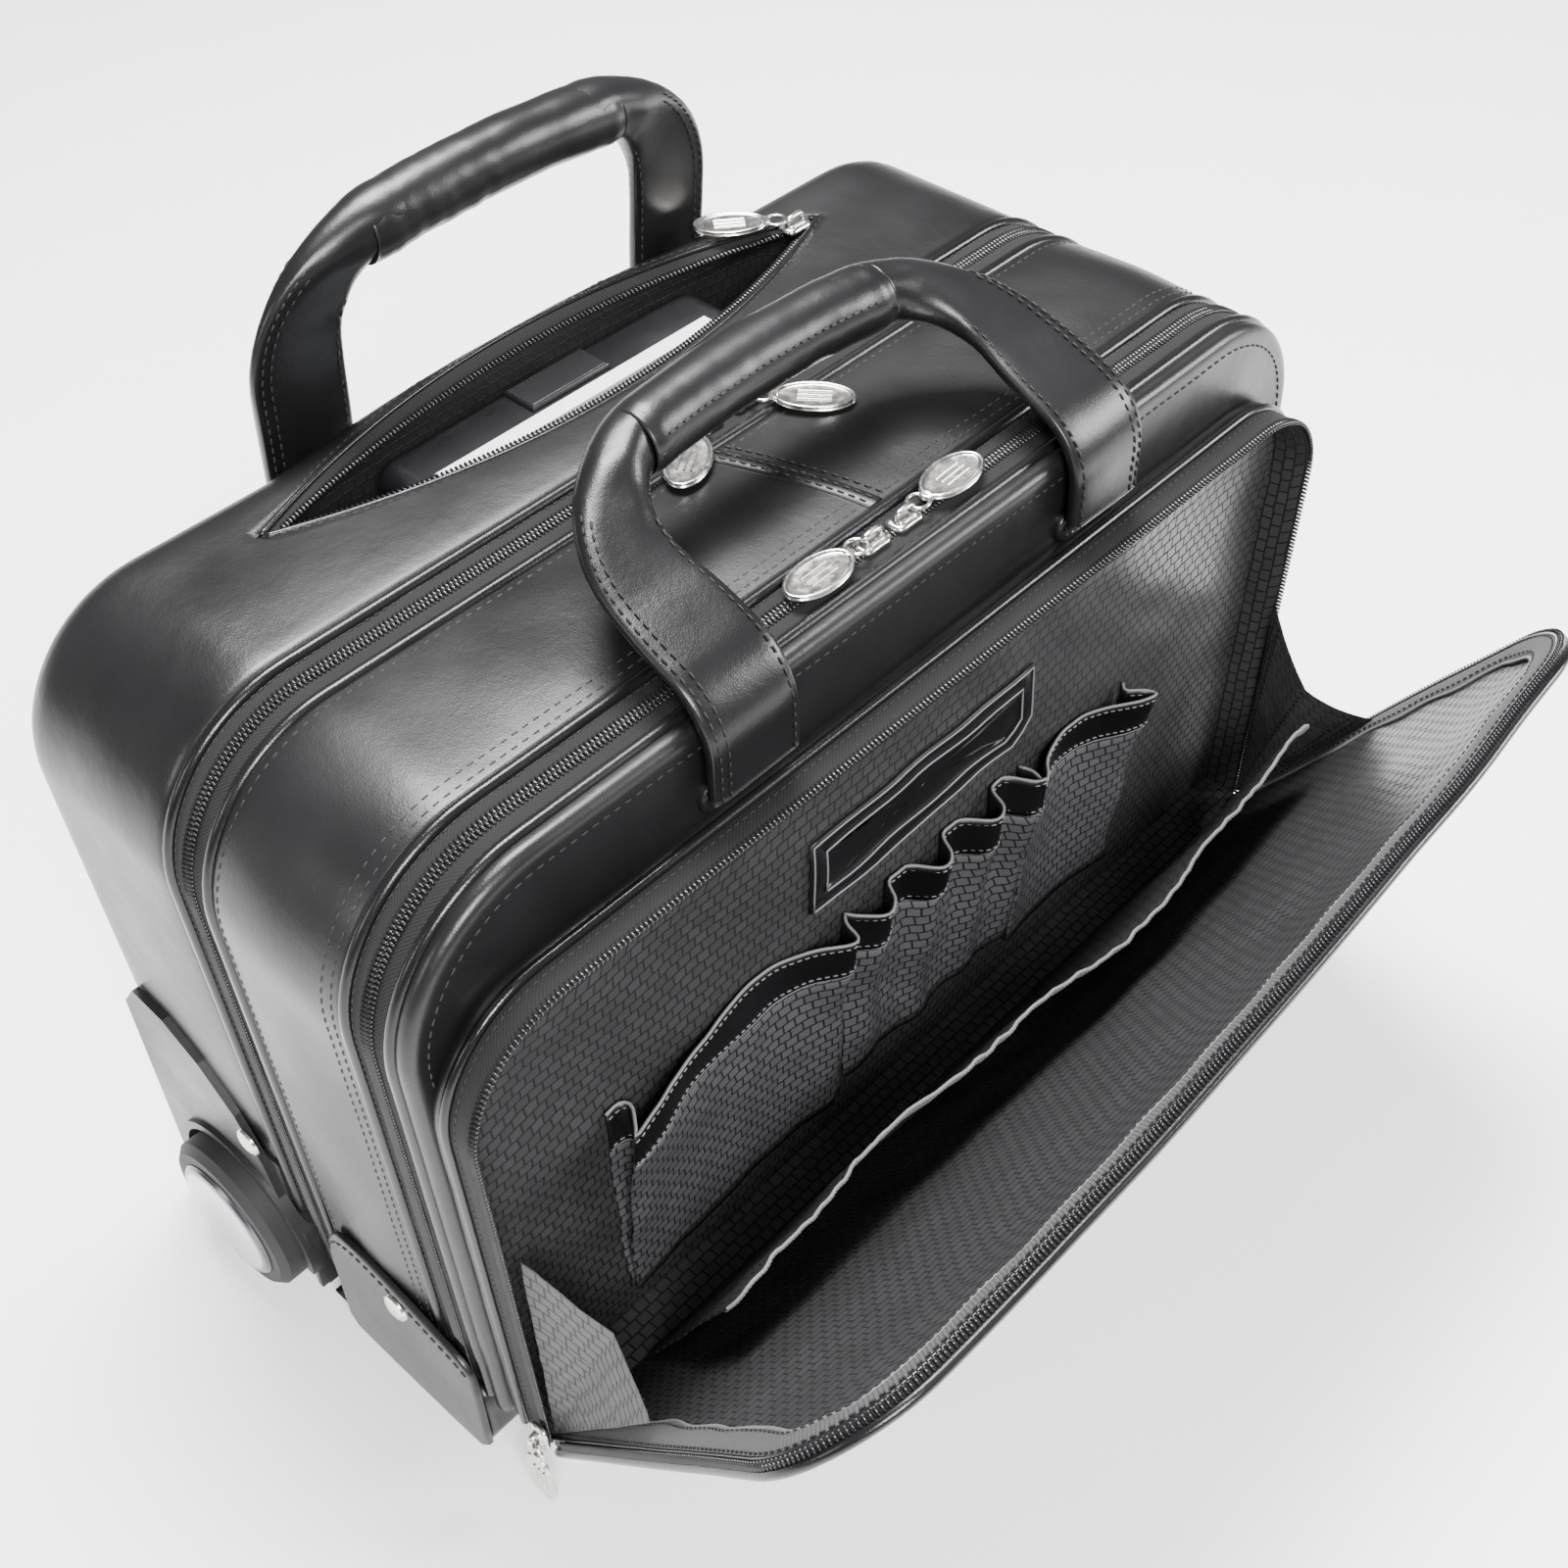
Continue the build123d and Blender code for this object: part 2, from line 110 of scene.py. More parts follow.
class Nodes:
    """A few short ways to add nodes to a material."""

    def __init__(self, m):
        self.tree = m.node_tree
        self.shader = self.tree.nodes["Principled BSDF"]

    def add(self, kind, **values):
        node = self.tree.nodes.new(kind)
        for key, value in values.items():
            if key in node.inputs:
                node.inputs[key].default_value = value
            else:
                setattr(node, key, value)
        return node

    def link(self, out, into):
        self.tree.links.new(out, into)

    def coords(self, kind="Object", scale=(1, 1, 1), turn=(0, 0, 0)):
        source = self.add("ShaderNodeTexCoord")
        mapping = self.add("ShaderNodeMapping")
        mapping.inputs["Scale"].default_value = scale
        mapping.inputs["Rotation"].default_value = turn
        self.link(source.outputs[kind], mapping.inputs["Vector"])
        return mapping.outputs["Vector"]

    def noise(self, vector, scale, detail=3, rough=0.55, distortion=0.0):
        n = self.add("ShaderNodeTexNoise", Scale=scale, Detail=detail, Roughness=rough,
            Distortion=distortion)
        self.link(vector, n.inputs["Vector"])
        return n.outputs["Fac"]

    def ramp(self, value, stops):
        node = self.add("ShaderNodeValToRGB")
        while len(node.color_ramp.elements) < len(stops):
            node.color_ramp.elements.new(0.5)
        for element, (place, colour) in zip(node.color_ramp.elements, stops):
            element.position = place
            element.color = (*colour, 1) if isinstance(colour, tuple) else (colour, colour, colour, 1)
        self.link(value, node.inputs["Fac"])
        return node.outputs["Color"]

    def math(self, kind, a, b=0.0):
        node = self.add("ShaderNodeMath", operation=kind)
        for slot, value in zip(node.inputs, (a, b)):
            if isinstance(value, (int, float)):
                slot.default_value = value
            else:
                self.link(value, slot)
        return node.outputs[0]

    def bump(self, height, strength, distance, previous=None):
        node = self.add("ShaderNodeBump", Strength=strength, Distance=distance)
        self.link(height, node.inputs["Height"])
        if previous is not None:
            self.link(previous, node.inputs["Normal"])
        return node.outputs["Normal"]

    def normal(self, out):
        self.link(out, self.shader.inputs["Normal"])

    def colour(self, out):
        self.link(out, self.shader.inputs["Base Color"])

    def rough(self, out):
        self.link(out, self.shader.inputs["Roughness"])


def leather(name, colour=(0.0055, 0.0055, 0.006), rough=(0.30, 0.43), crease=0.5, grain=900.0):
    m = new_material(name, colour, 0.4, Specular_IOR_Level=0.32, Coat_Weight=0.05, Coat_Roughness=0.25)
    n = Nodes(m)
    at = n.coords()
    cells = n.add("ShaderNodeTexVoronoi", feature="DISTANCE_TO_EDGE", Scale=grain)
    n.link(at, cells.inputs["Vector"])
    fine = n.bump(cells.outputs["Distance"], 0.22, 0.00022)
    folds = n.noise(at, 26.0, 4, 0.5, 0.15)
    soft = n.bump(folds, crease * 0.7, 0.0022, fine)
    pores = n.noise(at, 420.0, 2)
    n.normal(n.bump(pores, 0.12, 0.0004, soft))
    worn = n.noise(at, 16.0, 3, 0.5)
    n.rough(n.ramp(worn, [(0.3, rough[0]), (0.7, rough[1])]))
    dark = tuple(c * 0.75 for c in colour)
    light = tuple(c * 1.35 for c in colour)
    n.colour(n.ramp(worn, [(0.3, dark), (0.75, light)]))
    return m


def ripstop(name, base=(0.013, 0.013, 0.0135), line=0.0006, kind="UV", rough=0.42):
    """Nylon lining: rows of small quilted cells between raised dark threads."""
    m = new_material(name, base, rough, Specular_IOR_Level=0.42)
    n = Nodes(m)
    at = n.coords(kind)
    wander = n.add("ShaderNodeMixRGB", blend_type="LINEAR_LIGHT", Fac=0.006 if kind == "Object" else 0.9)
    slow = n.add("ShaderNodeTexNoise", Scale=0.09 if kind == "UV" else 40.0, Detail=2.0)
    n.link(at, slow.inputs["Vector"])
    n.link(at, wander.inputs[1])
    n.link(slow.outputs["Color"], wander.inputs[2])
    brick = n.add("ShaderNodeTexBrick", offset=0.5, offset_frequency=2)
    brick.inputs["Color1"].default_value = (*[c * 0.92 for c in base], 1)
    brick.inputs["Color2"].default_value = (*[c * 1.12 for c in base], 1)
    brick.inputs["Mortar"].default_value = (line, line, line, 1)
    brick.inputs["Scale"].default_value = 1.0 if kind == "UV" else 1000.0
    brick.inputs["Mortar Size"].default_value = 0.42
    brick.inputs["Mortar Smooth"].default_value = 0.3
    brick.inputs["Brick Width"].default_value = 5.6
    brick.inputs["Row Height"].default_value = 4.6
    n.link(wander.outputs[0], brick.inputs["Vector"])
    n.colour(brick.outputs["Color"])
    raised = n.bump(brick.outputs["Fac"], 1.0, 0.0007)
    threads = n.add("ShaderNodeTexWave", wave_type="BANDS", bands_direction="X",
        Scale=0.32 if kind == "UV" else 320.0)
    n.link(at, threads.inputs["Vector"])
    n.normal(n.bump(threads.outputs["Fac"], 0.16, 0.00012, raised))
    n.rough(n.ramp(brick.outputs["Fac"], [(0.0, rough), (1.0, 0.75)]))
    return m


def knit(name, base=(0.020, 0.020, 0.021), pitch=0.42, light=1.9, sheen=0.12):
    """Woven tape with ribs across its length; U runs along it in millimetres."""
    m = new_material(name, base, 0.8, Sheen_Weight=sheen, Sheen_Roughness=0.5, Specular_IOR_Level=0.25)
    n = Nodes(m)
    at = n.coords("UV")
    ribs = n.add("ShaderNodeTexWave", wave_type="BANDS", bands_direction="DIAGONAL", Scale=pitch)
    rows = n.add("ShaderNodeTexWave", wave_type="BANDS", bands_direction="Y", Scale=pitch * 1.2)
    for w in (ribs, rows):
        w.inputs["Distortion"].default_value = 0.6
        n.link(at, w.inputs["Vector"])
    mix = n.math("MULTIPLY", ribs.outputs["Fac"], rows.outputs["Fac"])
    n.colour(n.ramp(mix, [(0.0, tuple(c * 0.5 for c in base)), (0.8, tuple(c * light for c in base))]))
    n.normal(n.bump(mix, 0.6, 0.0003))
    return m


def metal(name, colour, rough, scratch=300.0):
    m = new_material(name, colour, rough, 1.0)
    n = Nodes(m)
    at = n.coords()
    marks = n.noise(at, scratch, 3, 0.6)
    n.rough(n.ramp(marks, [(0.3, max(rough - 0.06, 0.05)), (0.7, rough + 0.1)]))
    n.normal(n.bump(n.noise(at, scratch * 2.5, 2), 0.05, 0.0002))
    return m


def plastic(name, colour, rough, pebble=1400.0, strength=0.25):
    m = new_material(name, colour, rough)
    n = Nodes(m)
    at = n.coords()
    n.normal(n.bump(n.noise(at, pebble, 3, 0.6), strength, 0.0002))
    n.rough(n.ramp(n.noise(at, 35.0, 4), [(0.3, rough - 0.06), (0.7, rough + 0.08)]))
    return m


def brushed(name, colour, rough, scale):
    m = new_material(name, colour, rough, 1.0)
    n = Nodes(m)
    at = n.coords("Object", scale)
    streaks = n.noise(at, 40.0, 4, 0.6)
    n.rough(n.ramp(streaks, [(0.3, rough - 0.08), (0.7, rough + 0.12)]))
    n.normal(n.bump(streaks, 0.12, 0.0002))
    return m


def dial(name):
    """Silver wheel disc: fine turned rings about the axle."""
    m = new_material(name, (0.62, 0.63, 0.65), 0.28, 0.9)
    n = Nodes(m)
    wheel_low, wheel_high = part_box("hub_left")
    centre = (wheel_low + wheel_high) / 2
    source = n.add("ShaderNodeTexCoord")
    split = n.add("ShaderNodeSeparateXYZ")
    n.link(source.outputs["Object"], split.inputs[0])
    y = n.math("SUBTRACT", split.outputs["Y"], centre.y)
    z = n.math("SUBTRACT", split.outputs["Z"], centre.z)
    far = n.math("SQRT", n.math("ADD", n.math("MULTIPLY", y, y), n.math("MULTIPLY", z, z)))
    ring = n.math("SINE", n.math("MULTIPLY", far, 9000.0))
    edge = n.ramp(n.math("MULTIPLY", far, 38.0),
        [(0.3, (0.42, 0.43, 0.45)), (0.84, (0.60, 0.61, 0.63)), (0.9, (0.12, 0.12, 0.13))])
    n.colour(edge)
    n.normal(n.bump(ring, 0.10, 0.0001))
    return m


LEATHER = leather("leather_black")
LEATHER_BAND = leather("leather_band", crease=0.3)
LEATHER_STRAP = leather("leather_strap", (0.005, 0.005, 0.0055), (0.27, 0.38), 0.4, 1100.0)
LEATHER_PIPE = leather("leather_piping", (0.005, 0.005, 0.0055), (0.2, 0.3), 0.15, 1500.0)
LEATHER_TRIM = leather("leather_trim", (0.0035, 0.0035, 0.004), (0.34, 0.46), 0.12, 1300.0)
LINING = ripstop("lining_ripstop")
LINING_LIGHT = ripstop("lining_ripstop_light", base=(0.030, 0.030, 0.0315), rough=0.36)
POCKET_CLOTH = ripstop("pocket_ripstop", base=(0.060, 0.060, 0.064), rough=0.30)
LINING_CAD = ripstop("lining_ripstop_flat", kind="Object")
TAPE = knit("zip_tape", (0.006, 0.006, 0.0065), sheen=0.02)
BORDER = knit("knit_border", (0.055, 0.055, 0.058), 0.4, 1.7)
GUSSET = ripstop("gusset_cloth", base=(0.040, 0.040, 0.042), line=0.018, rough=0.55)
COIL = plastic("zip_coil", (0.010, 0.010, 0.011), 0.24, 900.0, 0.05)
THREAD = plastic("thread", (0.004, 0.004, 0.0045), 0.7, 3000.0, 0.4)
PALE = plastic("trim_edge", (0.13, 0.13, 0.135), 0.5, 1800.0, 0.3)
NICKEL = metal("nickel", (0.66, 0.64, 0.61), 0.2)
GUARD = plastic("guard_plastic", (0.009, 0.009, 0.010), 0.42)
GRIP_PLASTIC = plastic("grip_plastic", (0.006, 0.006, 0.007), 0.3, 1200.0, 0.1)
SILVER = plastic("silver_strip", (0.78, 0.80, 0.83), 0.25, 700.0, 0.05)
RUBBER = plastic("rubber", (0.009, 0.009, 0.009), 0.68, 700.0, 0.4)
ALLOY = brushed("alloy_tube", (0.62, 0.63, 0.65), 0.3, (30, 30, 1))
STEEL = brushed("steel_axle", (0.45, 0.45, 0.46), 0.35, (1, 30, 30))
DISC = dial("wheel_disc")
BUTTON = plastic("button_plastic", (0.012, 0.012, 0.013), 0.25, 1500.0, 0.08)

SLOT_OF = {m.name: "leather" for m in (LEATHER, LEATHER_BAND, LEATHER_STRAP, LEATHER_PIPE, LEATHER_TRIM)}
SLOT_OF.update({m.name: "lining" for m in (LINING, LINING_LIGHT, POCKET_CLOTH, BORDER, GUSSET)})
SLOT_OF.update({m.name: "zip" for m in (TAPE, COIL, THREAD, PALE)})
SLOT_OF[NICKEL.name] = "nickel"


# ---- mesh helpers
def piece(name, points, faces, material, body, uvs=None, replaces=(), slot="", thick=0.0, ride=True):
    """A mesh object that rides on a body, in millimetres. Its slot is worked out from the material unless
    given, but is not stored or used.
    """
    mesh = bpy.data.meshes.new(name)
    mesh.from_pydata([(p[0] / 1000, p[1] / 1000, p[2] / 1000) for p in points], [], faces)
    if uvs:
        layer = mesh.uv_layers.new(name="UVMap")
        for loop in mesh.loops:
            layer.data[loop.index].uv = uvs[loop.vertex_index]
    mesh.materials.append(material)
    mesh.validate()
    mesh.polygons.foreach_set("use_smooth", [True] * len(mesh.polygons))
    o = bpy.data.objects.new(name, mesh)
    bpy.context.collection.objects.link(o)
    if thick:
        solid = o.modifiers.new("thickness", "SOLIDIFY")
        solid.thickness, solid.offset = thick / 1000, 0.0
    if ride:
        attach(o, body)
    if replaces:
        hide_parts(*replaces)
    slot = SLOT_OF.get(material.name) if slot == "" else slot
    return o


def grid(rows, loop_u=False, loop_v=False):
    """Vertices, faces and millimetre UVs of a grid; each row is a list of points."""
    points, uvs = [], []
    wide = len(rows[0])
    down = 0.0
    for j, row in enumerate(rows):
        if j:
            middle = wide // 2
            down += (Vector(row[middle]) - Vector(rows[j - 1][middle])).length
        run = 0.0
        for i, p in enumerate(row):
            if i:
                run += (Vector(p) - Vector(row[i - 1])).length
            points.append(tuple(p))
            uvs.append((run, down))
    faces = []
    for j in range(len(rows) if loop_v else len(rows) - 1):
        for i in range(wide if loop_u else wide - 1):
            a, b = j * wide + i, j * wide + (i + 1) % wide
            c, d = ((j + 1) % len(rows)) * wide + (i + 1) % wide, ((j + 1) % len(rows)) * wide + i
            faces.append((a, b, c, d))
    return points, faces, uvs


def flipped(faces):
    return [tuple(reversed(f)) for f in faces]


def sheet(name, rows, material, body, flip=False, loop_u=False, **more):
    points, faces, uvs = grid(rows, loop_u)
    return piece(name, points, flipped(faces) if flip else faces, material, body, uvs, **more)


def tube(path, radius, sides=10, closed=False, up=None):
    """Rows of a tube round a path; up is a direction that its first ring keeps clear of."""
    path = [Vector(p) for p in path]
    count = len(path)
    rows, side = [], None
    for k, p in enumerate(path):
        before = path[(k - 1) % count] if closed or k else path[0]
        after = path[(k + 1) % count] if closed or k < count - 1 else path[-1]
        along = (after - before).normalized()
        if side is None:
            guess = Vector(up) if up else (Vector((0, 0, 1)) if abs(along.z) < 0.9 else Vector((0, 1, 0)))
            side = along.cross(guess).normalized()
        side = (side - along * side.dot(along)).normalized()
        other = along.cross(side)
        ring = []
        for i in range(sides):
            a = 2 * math.pi * i / sides
            ring.append(p + side * (math.cos(a) * radius) + other * (math.sin(a) * radius))
        rows.append(ring)
    return rows


def tube_piece(name, path, radius, material, body, sides=10, **more):
    points, faces, uvs = grid(tube(path, radius, sides), loop_u=True)
    faces.append(tuple(reversed(range(sides))))
    faces.append(tuple(range(len(points) - sides, len(points))))
    return piece(name, points, faces, material, body, uvs, **more)


def arcs(points, radii, step=3.0):
    """An open line of straight runs with round corners, as points every few millimetres."""
    dense = [Vector(points[0])]
    for k in range(1, len(points) - 1):
        p, a, b = Vector(points[k]), Vector(points[k - 1]), Vector(points[k + 1])
        u, v = (a - p).normalized(), (b - p).normalized()
        angle = u.angle(v)
        cut = radii[k] / math.tan(angle / 2)
        centre = p + (u + v).normalized() * (radii[k] / math.sin(angle / 2))
        start, end = p + u * cut - centre, p + v * cut - centre
        for q in range(17):
            turned = start.slerp(end, q / 16)
            dense.append(centre + turned.normalized() * radii[k])
    dense.append(Vector(points[-1]))
    return spaced(dense, step)


def spaced(dense, step, closed=False):
    """The same line as points at equal steps."""
    if closed:
        dense = dense + [dense[0]]
    length = sum((b - a).length for a, b in zip(dense, dense[1:]))
    count = max(int(round(length / step)), 2)
    out, want, run, k = [], 0.0, 0.0, 0
    for n in range(count if closed else count + 1):
        want = length * n / count
        while k < len(dense) - 2 and run + (dense[k + 1] - dense[k]).length < want:
            run += (dense[k + 1] - dense[k]).length
            k += 1
        gap = (dense[k + 1] - dense[k]).length
        out.append(dense[k].lerp(dense[k + 1], min((want - run) / gap, 1.0) if gap else 0))
    return out


def arch(shape, cut, step=3.0):
    """The outline as an upside-down U in (x, z), from the bottom left, up, over and down."""
    def side(z):
        return shape["half"] - LEAN * (shape["high"] - z)

    high, corner = shape["high"], shape["corner"]
    flat = [(-side(cut), cut, 0), (-side(high), high, 0), (side(high), high, 0), (side(cut), cut, 0)]
    return arcs(flat, [0, corner, corner, 0], step)


def outward(line, k):
    """The outward normal at a point of an outline."""
    along = (line[min(k + 1, len(line) - 1)] - line[max(k - 1, 0)]).normalized()
    return Vector((-along.y, along.x, 0))


def swept(line, profile, lift=None):
    """Rows for a profile of (y, height above the outline) points swept along an outline."""
    rows = []
    for y, h in profile:
        row = []
        for k, p in enumerate(line):
            n = outward(line, k)
            extra = lift(p, y) if lift else 0.0
            q = p + n * (h + extra)
            row.append((q.x, y, q.y))
        rows.append(row)
    return rows


def wobble(x, y, z, size, seed=0.0):
    """Smooth noise from about -1 to 1, with bumps of some size in millimetres."""
    return noise.noise(Vector((x / size + seed, y / size - seed * 0.7, z / size + seed * 1.3)))


def beads(name, places, size, material, body, **more):
    """Small rounded beads, such as stitches and zip teeth. A place is (point, along, outward)."""
    length, across, high = size
    points, faces = [], []
    for p, t, n in places:
        p, t, n = Vector(p), Vector(t).normalized(), Vector(n).normalized()
        s = t.cross(n)
        base = len(points)
        for at in (-0.3, 0.3):
            for a, b in ((0.5, 0), (0, 1), (-0.5, 0), (0, -0.6)):
                points.append(p + t * (at * length) + s * (a * across) + n * (b * high))
        points.append(p - t * (length / 2))
        points.append(p + t * (length / 2))
        for i in range(4):
            j = (i + 1) % 4
            faces.append((base + i, base + j, base + 4 + j, base + 4 + i))
            faces.append((base + j, base + i, base + 8))
            faces.append((base + 4 + i, base + 4 + j, base + 9))
    return piece(name, points, faces, material, body, **more)


def stitch_places(path, normals, gap):
    """Places for stitches every few millimetres along a path; normals has one per point."""
    out = []
    run, want = 0.0, gap / 2
    for k in range(len(path) - 1):
        a, b = Vector(path[k]), Vector(path[k + 1])
        length = (b - a).length
        while length and want <= run + length:
            f = (want - run) / length
            n = Vector(normals[k]).lerp(Vector(normals[k + 1]), f)
            out.append((a.lerp(b, f), b - a, n))
            want += gap
        run += length
    return out


def stitches(name, paths, body, gap=4.2, size=(2.9, 0.8, 0.45), material=None, **more):
    places = []
    for path, normals in paths:
        places += stitch_places(path, normals, gap)
    return beads(name, places, size, material or THREAD, body, **more)


def arch_run(shape, cut, y, height, lift=None):
    """A line of stitching round an outline: its points and their normals."""
    line = arch(shape, cut)
    path, normals = [], []
    for k, p in enumerate(line):
        n = outward(line, k)
        q = p + n * (height + (lift(p, y) if lift else 0.0))
        path.append((q.x, y, q.y))
        normals.append((n.x, 0, n.y))
    return path, normals


def outline_teeth(name, cut, y, side, body):
    """Coil teeth of one half of a main zip."""
    line = arch(CASE, cut, 0.85)
    places = []
    for k, p in enumerate(line):
        if k % 2 != (0 if side > 0 else 1):
            continue
        n = outward(line, k)
        q = p - n * 0.1
        places.append(((q.x, y + side * 1.0, q.y), (0, 1, 0), (n.x, 0, n.y)))
    return beads(name, places, (4.2, 1.25, 1.1), COIL, body, slot=None)


def zip_half(tag, y, side, cut, body, replaced, piping_nodes):
    """Piping, knitted tape and coil teeth of one half of a main zip."""
    line = arch(CASE, cut)
    edge, inner = y + side * 8.3, y + side * 0.5
    profile = [(edge + side * 1.5, -1.2), (edge, -0.9), (y + side * 6.5, -1.15), (y + side * 4.4, -1.0),
        (y + side * 2.6, -0.55), (inner, -0.9)]

    def lift(p, at_y):
        return 0.25 * wobble(p.x, at_y, p.y, 14, 3.0)

    sheet(f"{tag}_tape", swept(line, profile, lift), TAPE, body, replaces=replaced, thick=0.8,
        flip=side > 0)
    outline_teeth(f"{tag}_teeth", cut, y, side, body)
    rows = []
    for k in range(10):
        a = 2 * math.pi * k / 10
        rows.append((y + side * 10.1 + 2.3 * math.cos(a), -0.6 + 2.3 * math.sin(a)))
    ring = swept(line, rows)
    points, faces, uvs = grid(ring, loop_v=True)
    piece(f"{tag}_piping", points, flipped(faces), LEATHER_PIPE, body, uvs, replaces=piping_nodes)
    seam = [arch_run(CASE, cut, y + side * 7.4, -0.6)]
    stitches(f"{tag}_tape_stitches", seam, body, 3.4, (2.4, 0.6, 0.35), slot=None)


def clamp(v, low=0.0, high=1.0):
    return max(low, min(high, v))


def smooth(v):
    v = clamp(v)
    return v * v * (3 - 2 * v)


def mix(a, b, t):
    return a + (b - a) * t


def merge(parts):
    """Several (points, faces) meshes as one."""
    points, faces = [], []
    for p, f in parts:
        base = len(points)
        points += p
        faces += [tuple(i + base for i in face) for face in f]
    return points, faces


def corner_of(shape, inset):
    """Where the top corner's arc starts: its centre and radius."""
    radius = max(shape["corner"] - inset, 2.0)
    centre_z = shape["high"] - inset - radius
    centre_x = shape["half"] - inset - LEAN * (shape["high"] - centre_z) - radius
    return centre_x, centre_z, radius


def half_width(shape, inset, z):
    """Half the width of the outline at a height."""
    centre_x, centre_z, radius = corner_of(shape, inset)
    if z <= centre_z:
        return shape["half"] - inset - LEAN * (shape["high"] - z)
    return centre_x + math.sqrt(max(radius ** 2 - (z - centre_z) ** 2, 0))


def from_edge(shape, x, z):
    """How far a point is inside the outline's sides and top."""
    centre_x, centre_z, radius = corner_of(shape, 0)
    if z > centre_z and abs(x) > centre_x:
        return radius - math.hypot(abs(x) - centre_x, z - centre_z)
    return min(half_width(shape, 0, min(z, centre_z)) - abs(x), shape["high"] - z)


def filled(shape, inset, low, place, columns=72, step=4.0):
    """Rows that fill the outline down to a level; place turns (x, z) into a point."""
    centre_x, centre_z, radius = corner_of(shape, inset)
    count = max(int((centre_z - low) / step), 2)
    levels = [mix(low, centre_z, k / count) for k in range(count)]
    levels += [centre_z + radius * math.sin(math.radians(a)) for a in range(0, 91, 6)]
    rows = []
    for z in levels:
        half = half_width(shape, inset, z)
        rows.append([place(half * (2 * i / columns - 1), z) for i in range(columns + 1)])
    return rows


def closed_outline(shape, step=4.0):
    """The whole outline, from the middle of the bottom and round to it again."""
    low, high, half = shape["low"], shape["high"], shape["half"]
    foot = half - LEAN * (high - low)
    line = [(0, low, 0), (-foot, low, 0), (-half, high, 0), (half, high, 0), (foot, low, 0), (0, low, 0)]
    return arcs(line, [0, shape["foot"], shape["corner"], shape["corner"], shape["foot"], 0], step)


def pad(outline, profile, place, both=False):
    """A low form with a shaped edge. outline is (u, v) points anticlockwise; profile is (inset, height)."""
    loop = [Vector((u, v, 0)) for u, v in outline]
    count = len(loop)
    middle = sum(loop, Vector()) / count
    normals = []
    for k in range(count):
        t = (loop[(k + 1) % count] - loop[k - 1]).normalized()
        normals.append(Vector((t.y, -t.x, 0)))
    rings = []
    for inset, height in profile:
        rings.append([(p - n * inset, height) for p, n in zip(loop, normals)])
    last = rings[-1]
    for s in (0.7, 0.4, 0.15):
        rings.append([(middle + (p - middle) * s, h) for p, h in last])
    if both:
        rings = [[(p, -h) for p, h in ring] for ring in reversed(rings)] + rings
    points = [place(p.x, p.y, h) for ring in rings for p, h in ring]
    faces = []
    for j in range(len(rings) - 1):
        for i in range(count):
            k = (i + 1) % count
            faces.append((j * count + i, j * count + k, (j + 1) * count + k, (j + 1) * count + i))
    faces.append(tuple(range(len(points) - count, len(points))))
    if both:
        faces.append(tuple(reversed(range(count))))
    return points, faces


def curve_through(points, step=2.0):
    """A smooth line through some points (Catmull-Rom), as points every few millimetres."""
    pts = [Vector(p) for p in points]
    dense = []
    for k in range(len(pts) - 1):
        a, b, c = pts[max(k - 1, 0)], pts[k], pts[k + 1]
        d = pts[min(k + 2, len(pts) - 1)]
        for q in range(12):
            t = q / 12
            dense.append(0.5 * (2 * b + (c - a) * t + (2 * a - 5 * b + 4 * c - d) * t * t
                + (3 * b - a - 3 * c + d) * t ** 3))
    dense.append(pts[-1])
    return spaced(dense, step)


def paint(node, material):
    """Gives a CAD node that stays visible its material."""
    o = frame["nodes"][node]
    if not o.data.materials:
        o.data.materials.append(material)
    for k in range(len(o.data.materials)):
        o.data.materials[k] = material


# ---- rear compartment
LENS_HALF, LENS_BOW = 125.0, 20.0
LENS_TAPE = ((10.0, -0.5), (8.6, -0.7), (6.5, -1.5), (4.0, -2.2), (1.6, -2.2), (0.4, -2.6))
REAR_END = ZIP_1 + BAND


def lens_bow(x, grow):
    """Half the width of the bowed zip opening at x, grown by some millimetres."""
    return max((LENS_BOW + grow) * (1 - (x / (LENS_HALF + grow)) ** 2), 0.0)


def weld(obj, reach=1e-5):
    """Joins the vertices that lie in one place, so that the surface shades as one."""
    mesh = bmesh.new()
    mesh.from_mesh(obj.data)
    bmesh.ops.remove_doubles(mesh, verts=mesh.verts, dist=reach)
    mesh.to_mesh(obj.data)
    mesh.free()


